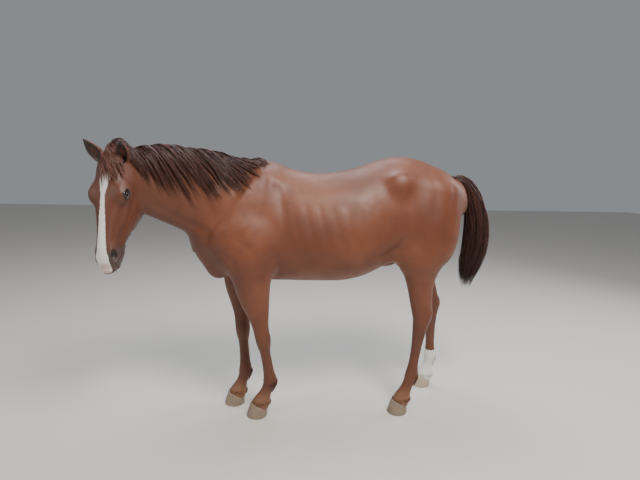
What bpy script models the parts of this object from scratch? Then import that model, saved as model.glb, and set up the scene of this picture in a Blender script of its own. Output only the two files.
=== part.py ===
"""A life-size standing horse, chestnut stock type, 15 hands: solids for a museum model.

The horse faces -X with its left side at -Y, and turns its head to its left. Z is up and the floor is z = 0.
Flesh is one smooth body: muscles and bones are swept limbs and balls, blended into each other. Each
part of the body is drawn as lofted rings, joined by a voxel remesh, settled on the blended surface, thinned
to few triangles and parted from its neighbours by thin flat cuts.
"""
import math

import bmesh
import bpy
import numpy as np
from mathutils import Matrix, Vector

UP = Vector((0.0, 0.0, 1.0))
FORWARD = Vector((-1.0, 0.0, 0.0))
LEFT, RIGHT = -1, 1
GAP = 0.0004            # between two pieces that touch

# ---------------------------------------------------------------- blended shapes


def smooth_rows(rows, steps):
    """Rows of numbers with steps - 1 more rows between each pair, on a smooth curve through all of them."""
    rows = np.asarray(rows, float)
    run = np.linalg.norm(np.diff(rows[:, :3], axis=0), axis=1)
    at = np.concatenate([[0.0], np.cumsum(run)])
    slope = np.gradient(rows, at, axis=0)
    out = []
    for i in range(len(rows) - 1):
        for t in np.arange(steps) / steps:
            h = run[i]
            out.append((2 * t**3 - 3 * t**2 + 1) * rows[i] + (t**3 - 2 * t**2 + t) * h * slope[i]
                       + (3 * t**2 - 2 * t**3) * rows[i + 1] + (t**3 - t**2) * h * slope[i + 1])
    return np.array(out + [rows[-1]])


class Limb:
    """A swept shape. Each row holds a centre, half-width, depth towards `ref`, depth away from it, and roundness.

    With an `axis` its sections stand square to that line, whatever way the centres wander.
    """

    def __init__(self, rows, ref, blend=0.04, steps=4, carve=False, axis=None):
        rows = np.array([list(r) + [2.0] * (7 - len(r)) for r in rows], float)
        self.rows = smooth_rows(rows, steps)
        self.blend, self.carve, self.axis = blend, carve, axis
        centre = self.rows[:, :3]
        tangent = np.gradient(centre, axis=0) if axis is None else np.tile(axis, (len(centre), 1))
        self.tangent = tangent / np.linalg.norm(tangent, axis=1)[:, None]
        front = np.array(ref, float) - self.tangent * (self.tangent @ np.array(ref, float))[:, None]
        self.front = front / np.linalg.norm(front, axis=1)[:, None]
        self.side = np.cross(self.tangent, self.front)
        reach = self.rows[:, 3:6].max() + 0.10
        self.low, self.high = centre.min(0) - reach, centre.max(0) + reach

    def place(self, p):
        """Which stretch of the limb each point lies beside, and how far along it."""
        a, ab = self.rows[:-1, :3], np.diff(self.rows[:, :3], axis=0)
        if self.axis is not None:
            stops = self.rows[:, :3] @ self.axis
            i = np.clip(np.searchsorted(stops, p @ self.axis) - 1, 0, len(a) - 1)
            t = np.clip((p @ self.axis - stops[i]) / (stops[i + 1] - stops[i]), 0, 1)
            return i, t[:, None]
        length2 = (ab * ab).sum(1)
        reach = p @ ab.T - (a * ab).sum(1)
        along = np.clip(reach / length2, 0, 1)
        gap2 = (a * a).sum(1) - 2 * p @ a.T - 2 * along * reach + along**2 * length2
        i = gap2.argmin(1)
        return i, along[np.arange(len(p)), i][:, None]

    def distance(self, p):
        i, t = self.place(p)
        row = self.rows[i] * (1 - t) + self.rows[i + 1] * t
        front = self.front[i] * (1 - t) + self.front[i + 1] * t
        side = self.side[i] * (1 - t) + self.side[i + 1] * t
        tangent = self.tangent[i] * (1 - t) + self.tangent[i + 1] * t
        off = p - row[:, :3]
        s, f, e = (off * side).sum(1), (off * front).sum(1), (off * tangent).sum(1)
        ends = ((i == 0) & (t[:, 0] == 0)) | ((i == len(self.rows) - 2) & (t[:, 0] == 1))
        depth = np.where(f > 0, row[:, 4], row[:, 5])
        n = row[:, 6]
        cap = np.minimum(row[:, 3], depth)
        rho = (np.abs(s / row[:, 3])**n + np.abs(f / depth)**n)**(1 / n)
        rho = np.sqrt(rho**2 + np.where(ends, e / cap, 0)**2)
        far = np.sqrt(s * s + f * f + np.where(ends, e, 0)**2)
        return np.where(rho > 1e-6, far * (1 - 1 / np.maximum(rho, 1e-6)), -cap)


class Ball:
    """An ellipsoid with its own axes."""

    def __init__(self, centre, radii, axes=None, blend=0.04, carve=False):
        self.centre, self.radii = np.array(centre, float), np.array(radii, float)
        self.axes = np.eye(3) if axes is None else np.array([Vector(a).normalized() for a in axes])
        self.blend, self.carve = blend, carve
        reach = self.radii.max() + 0.10
        self.low, self.high = self.centre - reach, self.centre + reach

    def distance(self, p):
        q = (p - self.centre) @ self.axes.T
        rho = np.linalg.norm(q / self.radii, axis=1)
        far = np.linalg.norm(q, axis=1)
        return np.where(rho > 1e-6, far * (1 - 1 / np.maximum(rho, 1e-6)), -self.radii.min())


class Crease:
    """A soft groove along a line where depth is positive, or a ridge where it is negative."""

    def __init__(self, line, width, depth):
        self.line = smooth_rows(line, 4)
        self.width, self.depth = width, depth
        self.low, self.high = self.line.min(0) - 3 * width, self.line.max(0) + 3 * width

    def lift(self, p):
        a, ab = self.line[:-1], np.diff(self.line, axis=0)
        best = np.full(len(p), 1e9)
        for start, run in zip(a, ab):
            t = np.clip((p - start) @ run / (run @ run), 0, 1)
            best = np.minimum(best, ((p - start - t[:, None] * run)**2).sum(1))
        return self.depth * np.exp(-best / self.width**2)


def body_distance(p, shapes):
    """How far each point lies outside the blended shapes."""
    found = np.full(len(p), 1.0)
    for shape in shapes:
        near = ((p > shape.low) & (p < shape.high)).all(1)
        if not near.any():
            continue
        if isinstance(shape, Crease):
            found[near] += shape.lift(p[near])
            continue
        mine, old, k = shape.distance(p[near]), found[near], shape.blend
        if shape.carve:
            mine = -mine
            h = np.maximum(k - np.abs(old - mine), 0) / k
            found[near] = np.maximum(old, mine) + h * h * k / 4
        else:
            h = np.maximum(k - np.abs(old - mine), 0) / k
            found[near] = np.minimum(old, mine) - h * h * k / 4
    return found


# ---------------------------------------------------------------- trunk and neck

# x, half-width, height of the back, of the widest level and of the belly, roundness
TRUNK = (
    (-0.625, 0.115, 1.110, 0.990, 0.895, 2.0),
    (-0.570, 0.165, 1.330, 1.050, 0.850, 1.9),
    (-0.480, 0.200, 1.455, 1.070, 0.822, 1.8),
    (-0.370, 0.220, 1.503, 1.060, 0.812, 1.75),
    (-0.280, 0.238, 1.500, 1.050, 0.810, 1.75),
    (-0.190, 0.258, 1.478, 1.050, 0.810, 1.85),
    (-0.100, 0.276, 1.458, 1.050, 0.810, 1.95),
    (0.020, 0.294, 1.455, 1.050, 0.810, 2.05),
    (0.140, 0.303, 1.472, 1.060, 0.815, 2.1),
    (0.250, 0.298, 1.505, 1.090, 0.840, 2.1),
    (0.350, 0.278, 1.540, 1.140, 0.885, 2.1),
    (0.450, 0.262, 1.560, 1.200, 0.940, 2.1),
    (0.560, 0.252, 1.553, 1.240, 1.010, 2.1),
    (0.670, 0.225, 1.517, 1.250, 1.050, 2.1),
    (0.770, 0.165, 1.473, 1.260, 1.110, 2.0),
    (0.815, 0.100, 1.440, 1.280, 1.180, 2.0),
)
# centre, half-width, height above it and depth below it
NECK = (
    (-0.400, 0.000, 1.200, 0.185, 0.290, 0.290),
    (-0.540, -0.010, 1.245, 0.148, 0.275, 0.258),
    (-0.655, -0.060, 1.305, 0.113, 0.250, 0.238),
    (-0.750, -0.125, 1.350, 0.092, 0.218, 0.222),
    (-0.830, -0.175, 1.380, 0.083, 0.196, 0.208),
    (-0.905, -0.220, 1.405, 0.079, 0.172, 0.192),
    (-0.975, -0.255, 1.428, 0.074, 0.145, 0.170),
    (-1.040, -0.285, 1.448, 0.060, 0.095, 0.130),
)
SHEATH = ((0.420, 0.0, 0.925), (0.065, 0.030, 0.035))


def trunk_shapes():
    rows = [(x, 0, mid, wide, top - mid, mid - low, n) for x, wide, top, mid, low, n in TRUNK]
    found = [Limb(rows, UP, blend=0.05, axis=np.array((1.0, 0.0, 0.0))), Ball(*SHEATH, blend=0.05)]
    for s in (LEFT, RIGHT):
        found += [
            Limb([(-0.330, s * 0.100, 1.400, 0.050, 0.090, 0.090), (-0.470, s * 0.140, 1.250, 0.060, 0.110, 0.110),
                  (-0.570, s * 0.150, 1.120, 0.060, 0.090, 0.090)], FORWARD, blend=0.08),
            Ball((-0.590, s * 0.150, 1.060), (0.060, 0.055, 0.075), blend=0.06),
            Ball((-0.600, s * 0.070, 0.940), (0.075, 0.070, 0.105), blend=0.06),
            Ball((-0.385, s * 0.185, 1.020), (0.130, 0.060, 0.140), blend=0.07),
            Ball((0.425, s * 0.215, 1.405), (0.055, 0.040, 0.050), blend=0.09),
            Ball((0.775, s * 0.090, 1.300), (0.060, 0.060, 0.080), blend=0.09),
        ]
    return found


NECK_WAY = Vector((-0.861, -0.383, 0.334))


def neck_shapes():
    return [Limb(NECK, UP, blend=0.11, axis=np.array(NECK_WAY))]


# ---------------------------------------------------------------- legs
# A leg is drawn along its joints. Each row: place along the joints, half-width, depth in front and behind.
FORELEG = (
    (0.00, 0.100, 0.150, 0.150),
    (0.55, 0.098, 0.155, 0.140),
    (1.00, 0.084, 0.118, 0.115),
    (1.20, 0.073, 0.106, 0.098),
    (1.40, 0.061, 0.092, 0.080),
    (1.60, 0.051, 0.068, 0.064),
    (1.78, 0.043, 0.050, 0.050),
    (1.90, 0.045, 0.046, 0.047),
    (2.00, 0.048, 0.044, 0.049),
    (2.13, 0.044, 0.040, 0.044),
    (2.28, 0.033, 0.031, 0.035),
    (2.50, 0.029, 0.028, 0.035),
    (2.78, 0.030, 0.030, 0.038),
    (3.00, 0.038, 0.040, 0.044),
    (3.30, 0.033, 0.032, 0.037),
    (3.65, 0.036, 0.037, 0.038),
    (4.00, 0.048, 0.052, 0.050),
    (4.20, 0.050, 0.054, 0.050),
)
HINDLEG = (
    (0.00, 0.120, 0.190, 0.150),
    (0.40, 0.135, 0.215, 0.182),
    (0.70, 0.130, 0.200, 0.182),
    (1.00, 0.108, 0.160, 0.148),
    (1.22, 0.082, 0.116, 0.096),
    (1.45, 0.065, 0.090, 0.068),
    (1.68, 0.052, 0.074, 0.066),
    (1.88, 0.046, 0.060, 0.066),
    (2.00, 0.048, 0.052, 0.060),
    (2.14, 0.045, 0.044, 0.050),
    (2.30, 0.037, 0.036, 0.042),
    (2.52, 0.030, 0.029, 0.036),
    (2.78, 0.029, 0.028, 0.034),
    (3.00, 0.038, 0.038, 0.043),
    (3.30, 0.033, 0.032, 0.037),
    (3.65, 0.036, 0.037, 0.038),
    (4.00, 0.048, 0.052, 0.050),
    (4.20, 0.050, 0.054, 0.050),
)
# joints from the top: shoulder, elbow, knee, fetlock, top of the hoof
FORE_JOINTS = {
    LEFT: ((-0.470, -0.140, 1.120), (-0.410, -0.158, 0.880), (-0.342, -0.130, 0.480),
           (-0.299, -0.118, 0.212), (-0.340, -0.116, 0.095)),
    RIGHT: ((-0.520, 0.140, 1.120), (-0.480, 0.150, 0.880), (-0.464, 0.092, 0.475),
            (-0.447, 0.060, 0.205), (-0.482, 0.050, 0.092)),
}
# hip, stifle, hock, fetlock, top of the hoof
HIND_JOINTS = {
    LEFT: ((0.660, -0.125, 1.340), (0.590, -0.170, 0.960), (0.607, -0.160, 0.600),
           (0.563, -0.155, 0.230), (0.518, -0.152, 0.095)),
    RIGHT: ((0.680, 0.125, 1.340), (0.690, 0.175, 0.960), (0.795, 0.185, 0.570),
            (0.815, 0.195, 0.205), (0.795, 0.197, 0.092)),
}


def leg_rows(joints, profile):
    joints = np.array(joints)
    rows = []
    for place, wide, front, back in profile:
        i = min(int(place), len(joints) - 2)
        centre = joints[i] + (place - i) * (joints[i + 1] - joints[i])
        rows.append((*centre, wide, front, back))
    return rows


def leg_shapes():
    found = []
    for side in (LEFT, RIGHT):
        found.append(Limb(leg_rows(FORE_JOINTS[side], FORELEG), FORWARD, blend=0.06))
        found.append(Limb(leg_rows(HIND_JOINTS[side], HINDLEG), FORWARD, blend=0.08))
        hock = np.array(HIND_JOINTS[side][2])
        found.append(Ball(hock + (0.043, 0.0, 0.030), (0.020, 0.020, 0.036), blend=0.03))
    return found


# ---------------------------------------------------------------- head
POLL = Vector((-1.099, -0.376, 1.545))
NOSE = Vector((-1.123, -0.514, 0.961))
LEFT_CHEEK = Vector((0.932, -0.360, 0.030))      # the way the left side of the head faces

# along the face from the poll, half-width, then levels above it: top, middle and underside, and roundness
SKULL = (
    (-0.020, 0.045, -0.030, -0.080, -0.125, 2.2),
    (0.020, 0.068, -0.004, -0.075, -0.160, 2.4),
    (0.090, 0.082, 0.008, -0.070, -0.165, 2.5),
    (0.160, 0.088, 0.010, -0.065, -0.160, 2.5),
    (0.220, 0.084, 0.005, -0.060, -0.150, 2.4),
    (0.300, 0.067, 0.001, -0.058, -0.140, 2.3),
    (0.380, 0.054, -0.002, -0.055, -0.118, 2.2),
    (0.440, 0.050, -0.004, -0.052, -0.108, 2.2),
    (0.495, 0.058, -0.010, -0.056, -0.108, 2.1),
    (0.540, 0.056, -0.024, -0.062, -0.106, 2.0),
    (0.570, 0.040, -0.044, -0.068, -0.096, 2.0),
)
JAW = (
    (0.030, 0.042, -0.100, -0.150, -0.205, 2.0),
    (0.080, 0.068, -0.100, -0.160, -0.272, 2.0),
    (0.140, 0.080, -0.100, -0.165, -0.308, 2.0),
    (0.200, 0.082, -0.100, -0.165, -0.320, 2.0),
    (0.260, 0.074, -0.090, -0.155, -0.306, 2.0),
    (0.320, 0.062, -0.090, -0.140, -0.266, 2.0),
    (0.380, 0.049, -0.080, -0.120, -0.208, 2.0),
    (0.440, 0.045, -0.080, -0.107, -0.168, 2.0),
    (0.495, 0.045, -0.085, -0.108, -0.164, 2.0),
    (0.545, 0.036, -0.085, -0.102, -0.148, 2.0),
)


def head_axes():
    """Along the face, to the horse's left, and out of the forehead."""
    along = (NOSE - POLL).normalized()
    left = (LEFT_CHEEK - along * LEFT_CHEEK.dot(along)).normalized()
    return along, left, along.cross(left)


HEAD = np.array(head_axes())


def on_head(u, v, w):
    """A place given in the head's own axes."""
    return tuple(np.array(POLL) + np.array((u, v, w)) @ HEAD)


def head_limb(rows, **more):
    placed = [(*on_head(u, 0, mid), wide, top - mid, mid - low, n) for u, wide, top, mid, low, n in rows]
    return Limb(placed, HEAD[2], axis=HEAD[0], **more)


def head_shapes():
    found = [head_limb(SKULL, blend=0.05), head_limb(JAW, blend=0.03)]
    for s in (-1, 1):
        found += [
            Ball(on_head(0.135, s * 0.042, -0.160), (0.095, 0.036, 0.088), HEAD, blend=0.03),
            Ball(on_head(0.205, s * 0.082, -0.036), (0.042, 0.024, 0.032), HEAD, blend=0.03),
            Limb([(*on_head(0.230, s * 0.082, -0.078), 0.014, 0.014, 0.014),
                  (*on_head(0.340, s * 0.052, -0.085), 0.010, 0.010, 0.010)], HEAD[2], blend=0.03),
        ]
    return found


def flesh_shapes():
    return trunk_shapes() + leg_shapes() + neck_shapes() + head_shapes()


# ---------------------------------------------------------------- meshes


def clear_scene():
    for obj in list(bpy.data.objects):
        bpy.data.objects.remove(obj)


def ring_on(bm, limb, i, segments=12):
    """The outline of the limb's section on its row i."""
    row, side, front, tangent = limb.rows[i], limb.side[i], limb.front[i], limb.tangent[i]
    depth, lean = (row[4] + row[5]) / 2, (row[4] - row[5]) / 2
    place = Matrix.Translation(Vector(row[:3] + front * lean))
    turn = Matrix((side * row[3], front * depth, tangent)).transposed().to_4x4()
    return bmesh.ops.create_circle(bm, segments=segments, radius=1.0, matrix=place @ turn)["verts"]


def add_links(bm, limb):
    """The limb as a chain of convex links, each the hull of two sections."""
    for i in range(len(limb.rows) - 1):
        ends = ring_on(bm, limb, i) + ring_on(bm, limb, i + 1)
        hull = bmesh.ops.convex_hull(bm, input=ends)
        inside = set(hull["geom_interior"]) | set(hull["geom_unused"])
        bmesh.ops.delete(bm, geom=[v for v in inside if isinstance(v, bmesh.types.BMVert)], context="VERTS")


def add_ball(bm, ball):
    place = Matrix.Translation(Vector(ball.centre))
    turn = Matrix([tuple(a * r) for a, r in zip(ball.axes, ball.radii)]).transposed().to_4x4()
    bmesh.ops.create_icosphere(bm, subdivisions=2, radius=1.0, matrix=place @ turn)


def rough_object(name, shapes):
    """All of the shapes' lofts and balls in one mesh, still crossing each other."""
    bm = bmesh.new()
    for shape in shapes:
        if isinstance(shape, Limb) and not shape.carve:
            add_links(bm, shape)
        if isinstance(shape, Ball) and not shape.carve:
            add_ball(bm, shape)
    bmesh.ops.recalc_face_normals(bm, faces=bm.faces)
    mesh = bpy.data.meshes.new(name)
    bm.to_mesh(mesh)
    bm.free()
    obj = bpy.data.objects.new(name, mesh)
    bpy.context.scene.collection.objects.link(obj)
    return obj


def apply_modifiers(obj):
    graph = bpy.context.evaluated_depsgraph_get()
    mesh = bpy.data.meshes.new_from_object(obj.evaluated_get(graph))
    obj.modifiers.clear()
    old, obj.data = obj.data, mesh
    bpy.data.meshes.remove(old)


def remesh(obj, voxel):
    modifier = obj.modifiers.new("join", "REMESH")
    modifier.mode, modifier.voxel_size, modifier.adaptivity = "VOXEL", voxel, 0.0
    apply_modifiers(obj)


def drop_inner_shells(obj):
    """Keeps the largest connected surface, so that no hollow is left where shapes cross."""
    bm = bmesh.new()
    bm.from_mesh(obj.data)
    left, largest = set(bm.verts), set()
    while left:
        found, edge = set(), [left.pop()]
        while edge:
            vert = edge.pop()
            found.add(vert)
            near = {e.other_vert(vert) for e in vert.link_edges} & left
            left -= near
            edge.extend(near)
        if len(found) > len(largest):
            largest = found
    bmesh.ops.delete(bm, geom=[v for v in bm.verts if v not in largest], context="VERTS")
    bm.to_mesh(obj.data)
    bm.free()


def settle(obj, shapes, rounds=8):
    """Moves each vertex along its normal onto the blended surface, evening the mesh out in between."""
    bm = bmesh.new()
    bm.from_mesh(obj.data)
    for turn in range(rounds):
        if 0 < turn < rounds - 3:
            bmesh.ops.smooth_vert(bm, verts=bm.verts, factor=0.5, use_axis_x=True, use_axis_y=True,
                                  use_axis_z=True)
        bm.normal_update()
        where = np.array([v.co for v in bm.verts])
        normals = np.array([v.normal for v in bm.verts])
        step = np.clip(body_distance(where, shapes), -0.015, 0.015)
        where -= normals * step[:, None]
        for vert, place in zip(bm.verts, where):
            vert.co = place
    bm.to_mesh(obj.data)
    bm.free()


def make_object(name, bm, material):
    """A bmesh as a named object, its faces turned outwards and shaded smooth."""
    bm.normal_update()
    bmesh.ops.recalc_face_normals(bm, faces=bm.faces)
    mesh = bpy.data.meshes.new(name)
    bm.to_mesh(mesh)
    bm.free()
    mesh.materials.append(material)
    mesh.shade_smooth()
    obj = bpy.data.objects.new(name, mesh)
    bpy.context.scene.collection.objects.link(obj)
    return obj


def carve(obj, cutter, operation="DIFFERENCE"):
    modifier = obj.modifiers.new("cut", "BOOLEAN")
    modifier.object, modifier.operation, modifier.solver = cutter, operation, "EXACT"
    apply_modifiers(obj)


def swell(obj, by):
    """Moves a mesh's surface outwards by a little, or inwards."""
    bm = bmesh.new()
    bm.from_mesh(obj.data)
    bm.normal_update()
    for vert, normal in [(v, v.normal.copy()) for v in bm.verts]:
        vert.co += normal * by
    bm.to_mesh(obj.data)
    bm.free()


def part_from(flesh, name, corner, axes, size):
    """Splits a block's share off the flesh as a new object. The block grows by the gap before it leaves the rest."""
    for grow, target, operation in ((0.0, None, "INTERSECT"), (GAP, flesh, "DIFFERENCE")):
        bm = bmesh.new()
        bmesh.ops.create_cube(bm, size=1.0, matrix=Matrix.Translation((0.5, 0.5, 0.5)))
        turn = Matrix([Vector(a).normalized() for a in axes]).transposed()
        for vert in bm.verts:
            reach = [c * (side + 2 * grow) - grow for c, side in zip(vert.co, size)]
            vert.co = Vector(corner) + turn @ Vector(reach)
        block = make_object("block", bm, flesh.data.materials[0])
        if target is None:
            target = flesh.copy()
            target.data = flesh.data.copy()
            target.name = name
            bpy.context.scene.collection.objects.link(target)
            part = target
        carve(target, block, operation)
        bpy.data.objects.remove(block)
    return part


def paint(name, colour, roughness):
    material = bpy.data.materials.new(name)
    material.use_nodes = True
    shader = material.node_tree.nodes["Principled BSDF"]
    shader.inputs["Base Color"].default_value = (*colour, 1.0)
    shader.inputs["Roughness"].default_value = roughness
    return material


# ---------------------------------------------------------------- ears, eyes and hooves
EAR_ROOT = (0.050, 0.052, -0.065)                  # of the left ear, in the head's axes
EAR_TIPS = {LEFT: (-0.034, 0.102, 0.042), RIGHT: (-0.050, 0.104, 0.042)}
EAR_OPENS = (0.55, 0.30, 0.75)
EAR_WIDTH, EAR_WALL, EAR_ROLL = 0.029, 0.006, 1.35
EYE_CENTRE, EYE_RADIUS = (0.210, 0.082, -0.036), 0.0215
LIDS_CENTRE, LIDS_RADII = (0.210, 0.112, -0.034), (0.019, 0.019, 0.012)    # the hollow between the lids
HOOF_LENGTH, HOOF_WIDTH, HOOF_TOE, HOOF_HEEL = 0.134, 0.124, 0.086, 0.044
CORONET_LENGTH, CORONET_WIDTH = 0.106, 0.100
# middle of each sole and the way its toe points, in degrees to the horse's left
HOOVES = {
    ("fore", LEFT): ((-0.362, -0.118), 8),
    ("fore", RIGHT): ((-0.500, 0.048), -4),
    ("hind", LEFT): ((0.498, -0.152), 10),
    ("hind", RIGHT): ((0.776, 0.198), -8),
}
SIDE_NAME = {LEFT: "left", RIGHT: "right"}


def add_ear(side, material):
    """A leaf rolled into a trough, twelve rings from root to tip."""
    flip = np.array((1, -side, 1))
    root, tip = (np.array(on_head(*(np.array(place) * flip))) for place in (EAR_ROOT, EAR_TIPS[side]))
    axis = tip - root
    opens = (np.array(EAR_OPENS) * flip) @ HEAD
    opens -= axis * (opens @ axis) / (axis @ axis)
    opens /= np.linalg.norm(opens)
    across = np.cross(axis / np.linalg.norm(axis), opens)
    bm = bmesh.new()
    sheets = []
    for back in (0.0, EAR_WALL):
        sheet = []
        for s in np.linspace(0, 1, 12):
            wide = EAR_WIDTH * (0.62 + 0.75 * math.sin(math.pi * min(s * 1.05, 1.0) ** 0.9)) * (1 - s**5) ** 0.7
            wide = max(wide, 0.004)
            row = []
            for t in np.linspace(-EAR_ROLL, EAR_ROLL, 8):
                spot = root + axis * (s + 0.03 * math.sin(math.pi * s)) + across * (wide + back) * math.sin(t)
                cup = wide * (0.55 + 0.45 * (1 - s)) * (1 - math.cos(t)) + back * (math.cos(t) if back else 0)
                row.append(bm.verts.new(spot + opens * (cup - 2 * back * math.cos(t))))
            sheet.append(row)
        sheets.append(sheet)
    inner, outer = sheets
    for sheet in sheets:
        for low, high in zip(sheet, sheet[1:]):
            for j in range(len(low) - 1):
                bm.faces.new((low[j], low[j + 1], high[j + 1], high[j]))
    rim = [[row[0] for row in sheet] for sheet in sheets], [[row[-1] for row in sheet] for sheet in sheets]
    for one, two in (*rim, (inner[0], outer[0]), (inner[-1], outer[-1])):
        for j in range(len(one) - 1):
            bm.faces.new((one[j], one[j + 1], two[j + 1], two[j]))
    return make_object("ear_" + SIDE_NAME[side], bm, material)


def add_eye(side, radius, material):
    bm = bmesh.new()
    spot = on_head(*(np.array(EYE_CENTRE) * (1, -side, 1)))
    bmesh.ops.create_uvsphere(bm, u_segments=14, v_segments=8, radius=radius, matrix=Matrix.Translation(spot))
    return make_object("eye_" + SIDE_NAME[side], bm, material)


def lids_hollow(side, material):
    place = Matrix.Translation(on_head(*(np.array(LIDS_CENTRE) * (1, -side, 1))))
    turn = Matrix([Vector(a) * r for a, r in zip(HEAD, LIDS_RADII)]).transposed().to_4x4()
    bm = bmesh.new()
    bmesh.ops.create_uvsphere(bm, u_segments=14, v_segments=8, radius=1.0, matrix=place @ turn)
    return make_object("lids", bm, material)


def hoof_axes(key):
    (x, y), turn = HOOVES[key]
    toe = Matrix.Rotation(math.radians(turn), 3, "Z") @ FORWARD
    return Vector((x, y, 0.0)), toe, UP.cross(toe)


def coronet_plane(key):
    """Corner, axes and size of the block that holds all below the top of the hoof, with the gap."""
    middle, toe, across = hoof_axes(key)
    rise = (toe * CORONET_LENGTH + UP * (HOOF_TOE - HOOF_HEEL)).normalized()
    level = middle - toe * 0.004 + UP * (HOOF_TOE + HOOF_HEEL) / 2
    corner = level - rise * 0.12 - across * 0.12
    return corner, (rise, across, across.cross(rise)), (0.24, 0.24, 0.20)


def add_hoof(key, material):
    """A wall lofted from the coronet down to a flat sole, straighter across the heels."""
    middle, toe, across = hoof_axes(key)
    bm = bmesh.new()
    rings = []
    slope = (HOOF_TOE - HOOF_HEEL) / CORONET_LENGTH
    # share of the way down, and how far the ring is drawn in
    for down, inset in ((0.0, 0.004), (0.06, 0.0), (0.5, 0.0), (0.94, 0.0), (1.0, 0.003)):
        length = (CORONET_LENGTH + (HOOF_LENGTH - CORONET_LENGTH) * down) / 2 - inset
        width = (CORONET_WIDTH + (HOOF_WIDTH - CORONET_WIDTH) * down) / 2 - inset
        ring = []
        for i in range(20):
            a = 2 * math.pi * i / 20
            front = math.cos(a) if math.cos(a) > 0 else 0.86 * math.cos(a)
            wide = math.sin(a) * (1 - 0.16 * max(-math.cos(a), 0))
            top = (HOOF_TOE + HOOF_HEEL) / 2 + slope * length * front - GAP
            lean = toe * (0.010 * down - 0.004)
            spot = middle + lean + toe * length * front + across * width * wide + UP * top * (1 - down)
            ring.append(bm.verts.new(spot))
        rings.append(ring)
    for one, two in zip(rings, rings[1:]):
        for i in range(20):
            bm.faces.new((one[i], one[(i + 1) % 20], two[(i + 1) % 20], two[i]))
    bm.faces.new(rings[0])
    bm.faces.new(rings[-1])
    return make_object(f"hoof_{key[0]}_{SIDE_NAME[key[1]]}", bm, material)


# ---------------------------------------------------------------- mane, forelock and tail
# share of the way from the poll to the withers, angle that the hair hangs to on the left, and its thickness
MANE = (
    (0.00, 52, 0.008),
    (0.15, 62, 0.011),
    (0.35, 78, 0.016),
    (0.55, 92, 0.021),
    (0.72, 96, 0.021),
    (0.86, 66, 0.015),
    (1.00, 30, 0.006),
)
MANE_OVER = 16           # how far the hair laps over to the right of the crest, in degrees
MANE_FROM, MANE_TO = Vector((-1.045, -0.290, 1.450)), Vector((-0.360, 0.0, 1.300))
# centre, half-width and half-depth down the tail
TAIL = (
    (0.780, 0.000, 1.430, 0.022, 0.020),
    (0.840, 0.000, 1.440, 0.026, 0.024),
    (0.890, 0.002, 1.425, 0.034, 0.030),
    (0.935, 0.004, 1.370, 0.046, 0.040),
    (0.968, 0.006, 1.290, 0.060, 0.050),
    (0.990, 0.008, 1.190, 0.074, 0.064),
    (1.000, 0.010, 1.080, 0.082, 0.074),
    (0.992, 0.010, 0.980, 0.080, 0.076),
    (0.970, 0.008, 0.890, 0.068, 0.074),
    (0.955, 0.006, 0.810, 0.046, 0.052),
    (0.950, 0.004, 0.735, 0.020, 0.024),
)


def skin_reach(start, way, shapes, offset):
    """How far out along each ray the blended surface lies, less the offset inside it."""
    low, high = np.zeros(len(start)), np.full(len(start), 0.45)
    for _ in range(16):
        middle = (low + high) / 2
        inside = body_distance(start + way * middle[:, None], shapes) < offset
        low, high = np.where(inside, middle, low), np.where(inside, high, middle)
    return low


def add_patch(name, starts, ways, thick, shapes, material):
    """A closed slab over the skin: a grid of rays, its outer sheet raised by the hair and its inner one sunk."""
    rows, columns = starts.shape[:2]
    flat_start, flat_way = starts.reshape(-1, 3), ways.reshape(-1, 3)
    skin = skin_reach(flat_start, flat_way, shapes, 0.0)
    bm = bmesh.new()
    sheets = []
    for rise in (thick.reshape(-1), -0.010 * np.ones(rows * columns)):
        spots = flat_start + flat_way * (skin + rise)[:, None]
        verts = [bm.verts.new(spot) for spot in spots]
        sheets.append([verts[i * columns:(i + 1) * columns] for i in range(rows)])
    for sheet in sheets:
        for low, high in zip(sheet, sheet[1:]):
            for j in range(columns - 1):
                bm.faces.new((low[j], low[j + 1], high[j + 1], high[j]))
    outer, inner = sheets
    edges = [([r[0] for r in outer], [r[0] for r in inner]), ([r[-1] for r in outer], [r[-1] for r in inner]),
             (outer[0], inner[0]), (outer[-1], inner[-1])]
    for one, two in edges:
        for j in range(len(one) - 1):
            bm.faces.new((one[j], one[j + 1], two[j + 1], two[j]))
    return make_object(name, bm, material)


def add_mane(shapes, material):
    rows, columns = 15, 9
    starts, ways, thick = np.zeros((rows, columns, 3)), np.zeros((rows, columns, 3)), np.zeros((rows, columns))
    path = smooth_rows([(*MANE_FROM,), (-0.830, -0.175, 1.380), (-0.655, -0.060, 1.330), (*MANE_TO,)], 8)
    run = np.linspace(0, 1, len(path))
    for i, s in enumerate(np.linspace(0, 1, rows)):
        spot = np.array([np.interp(s, run, path[:, k]) for k in range(3)])
        ahead = np.array([np.interp(min(s + 0.05, 1), run, path[:, k]) for k in range(3)])
        behind = np.array([np.interp(max(s - 0.05, 0), run, path[:, k]) for k in range(3)])
        along = ahead - behind
        left = np.cross(np.array(UP), along)
        left *= -1 / np.linalg.norm(left)
        hang, rise = (np.interp(s, [m[0] for m in MANE], [m[k] for m in MANE]) for k in (1, 2))
        for j, t in enumerate(np.linspace(0, 1, columns)):
            a = math.radians(-MANE_OVER + (hang + MANE_OVER) * t)
            starts[i, j], ways[i, j] = spot, np.array(UP) * math.cos(a) + left * math.sin(a)
            thick[i, j] = rise * (0.35 + 0.65 * math.sin(math.pi * min(0.25 + t * 0.7, 1.0)))
    return add_patch("mane", starts, ways, thick, shapes, material)


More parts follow.
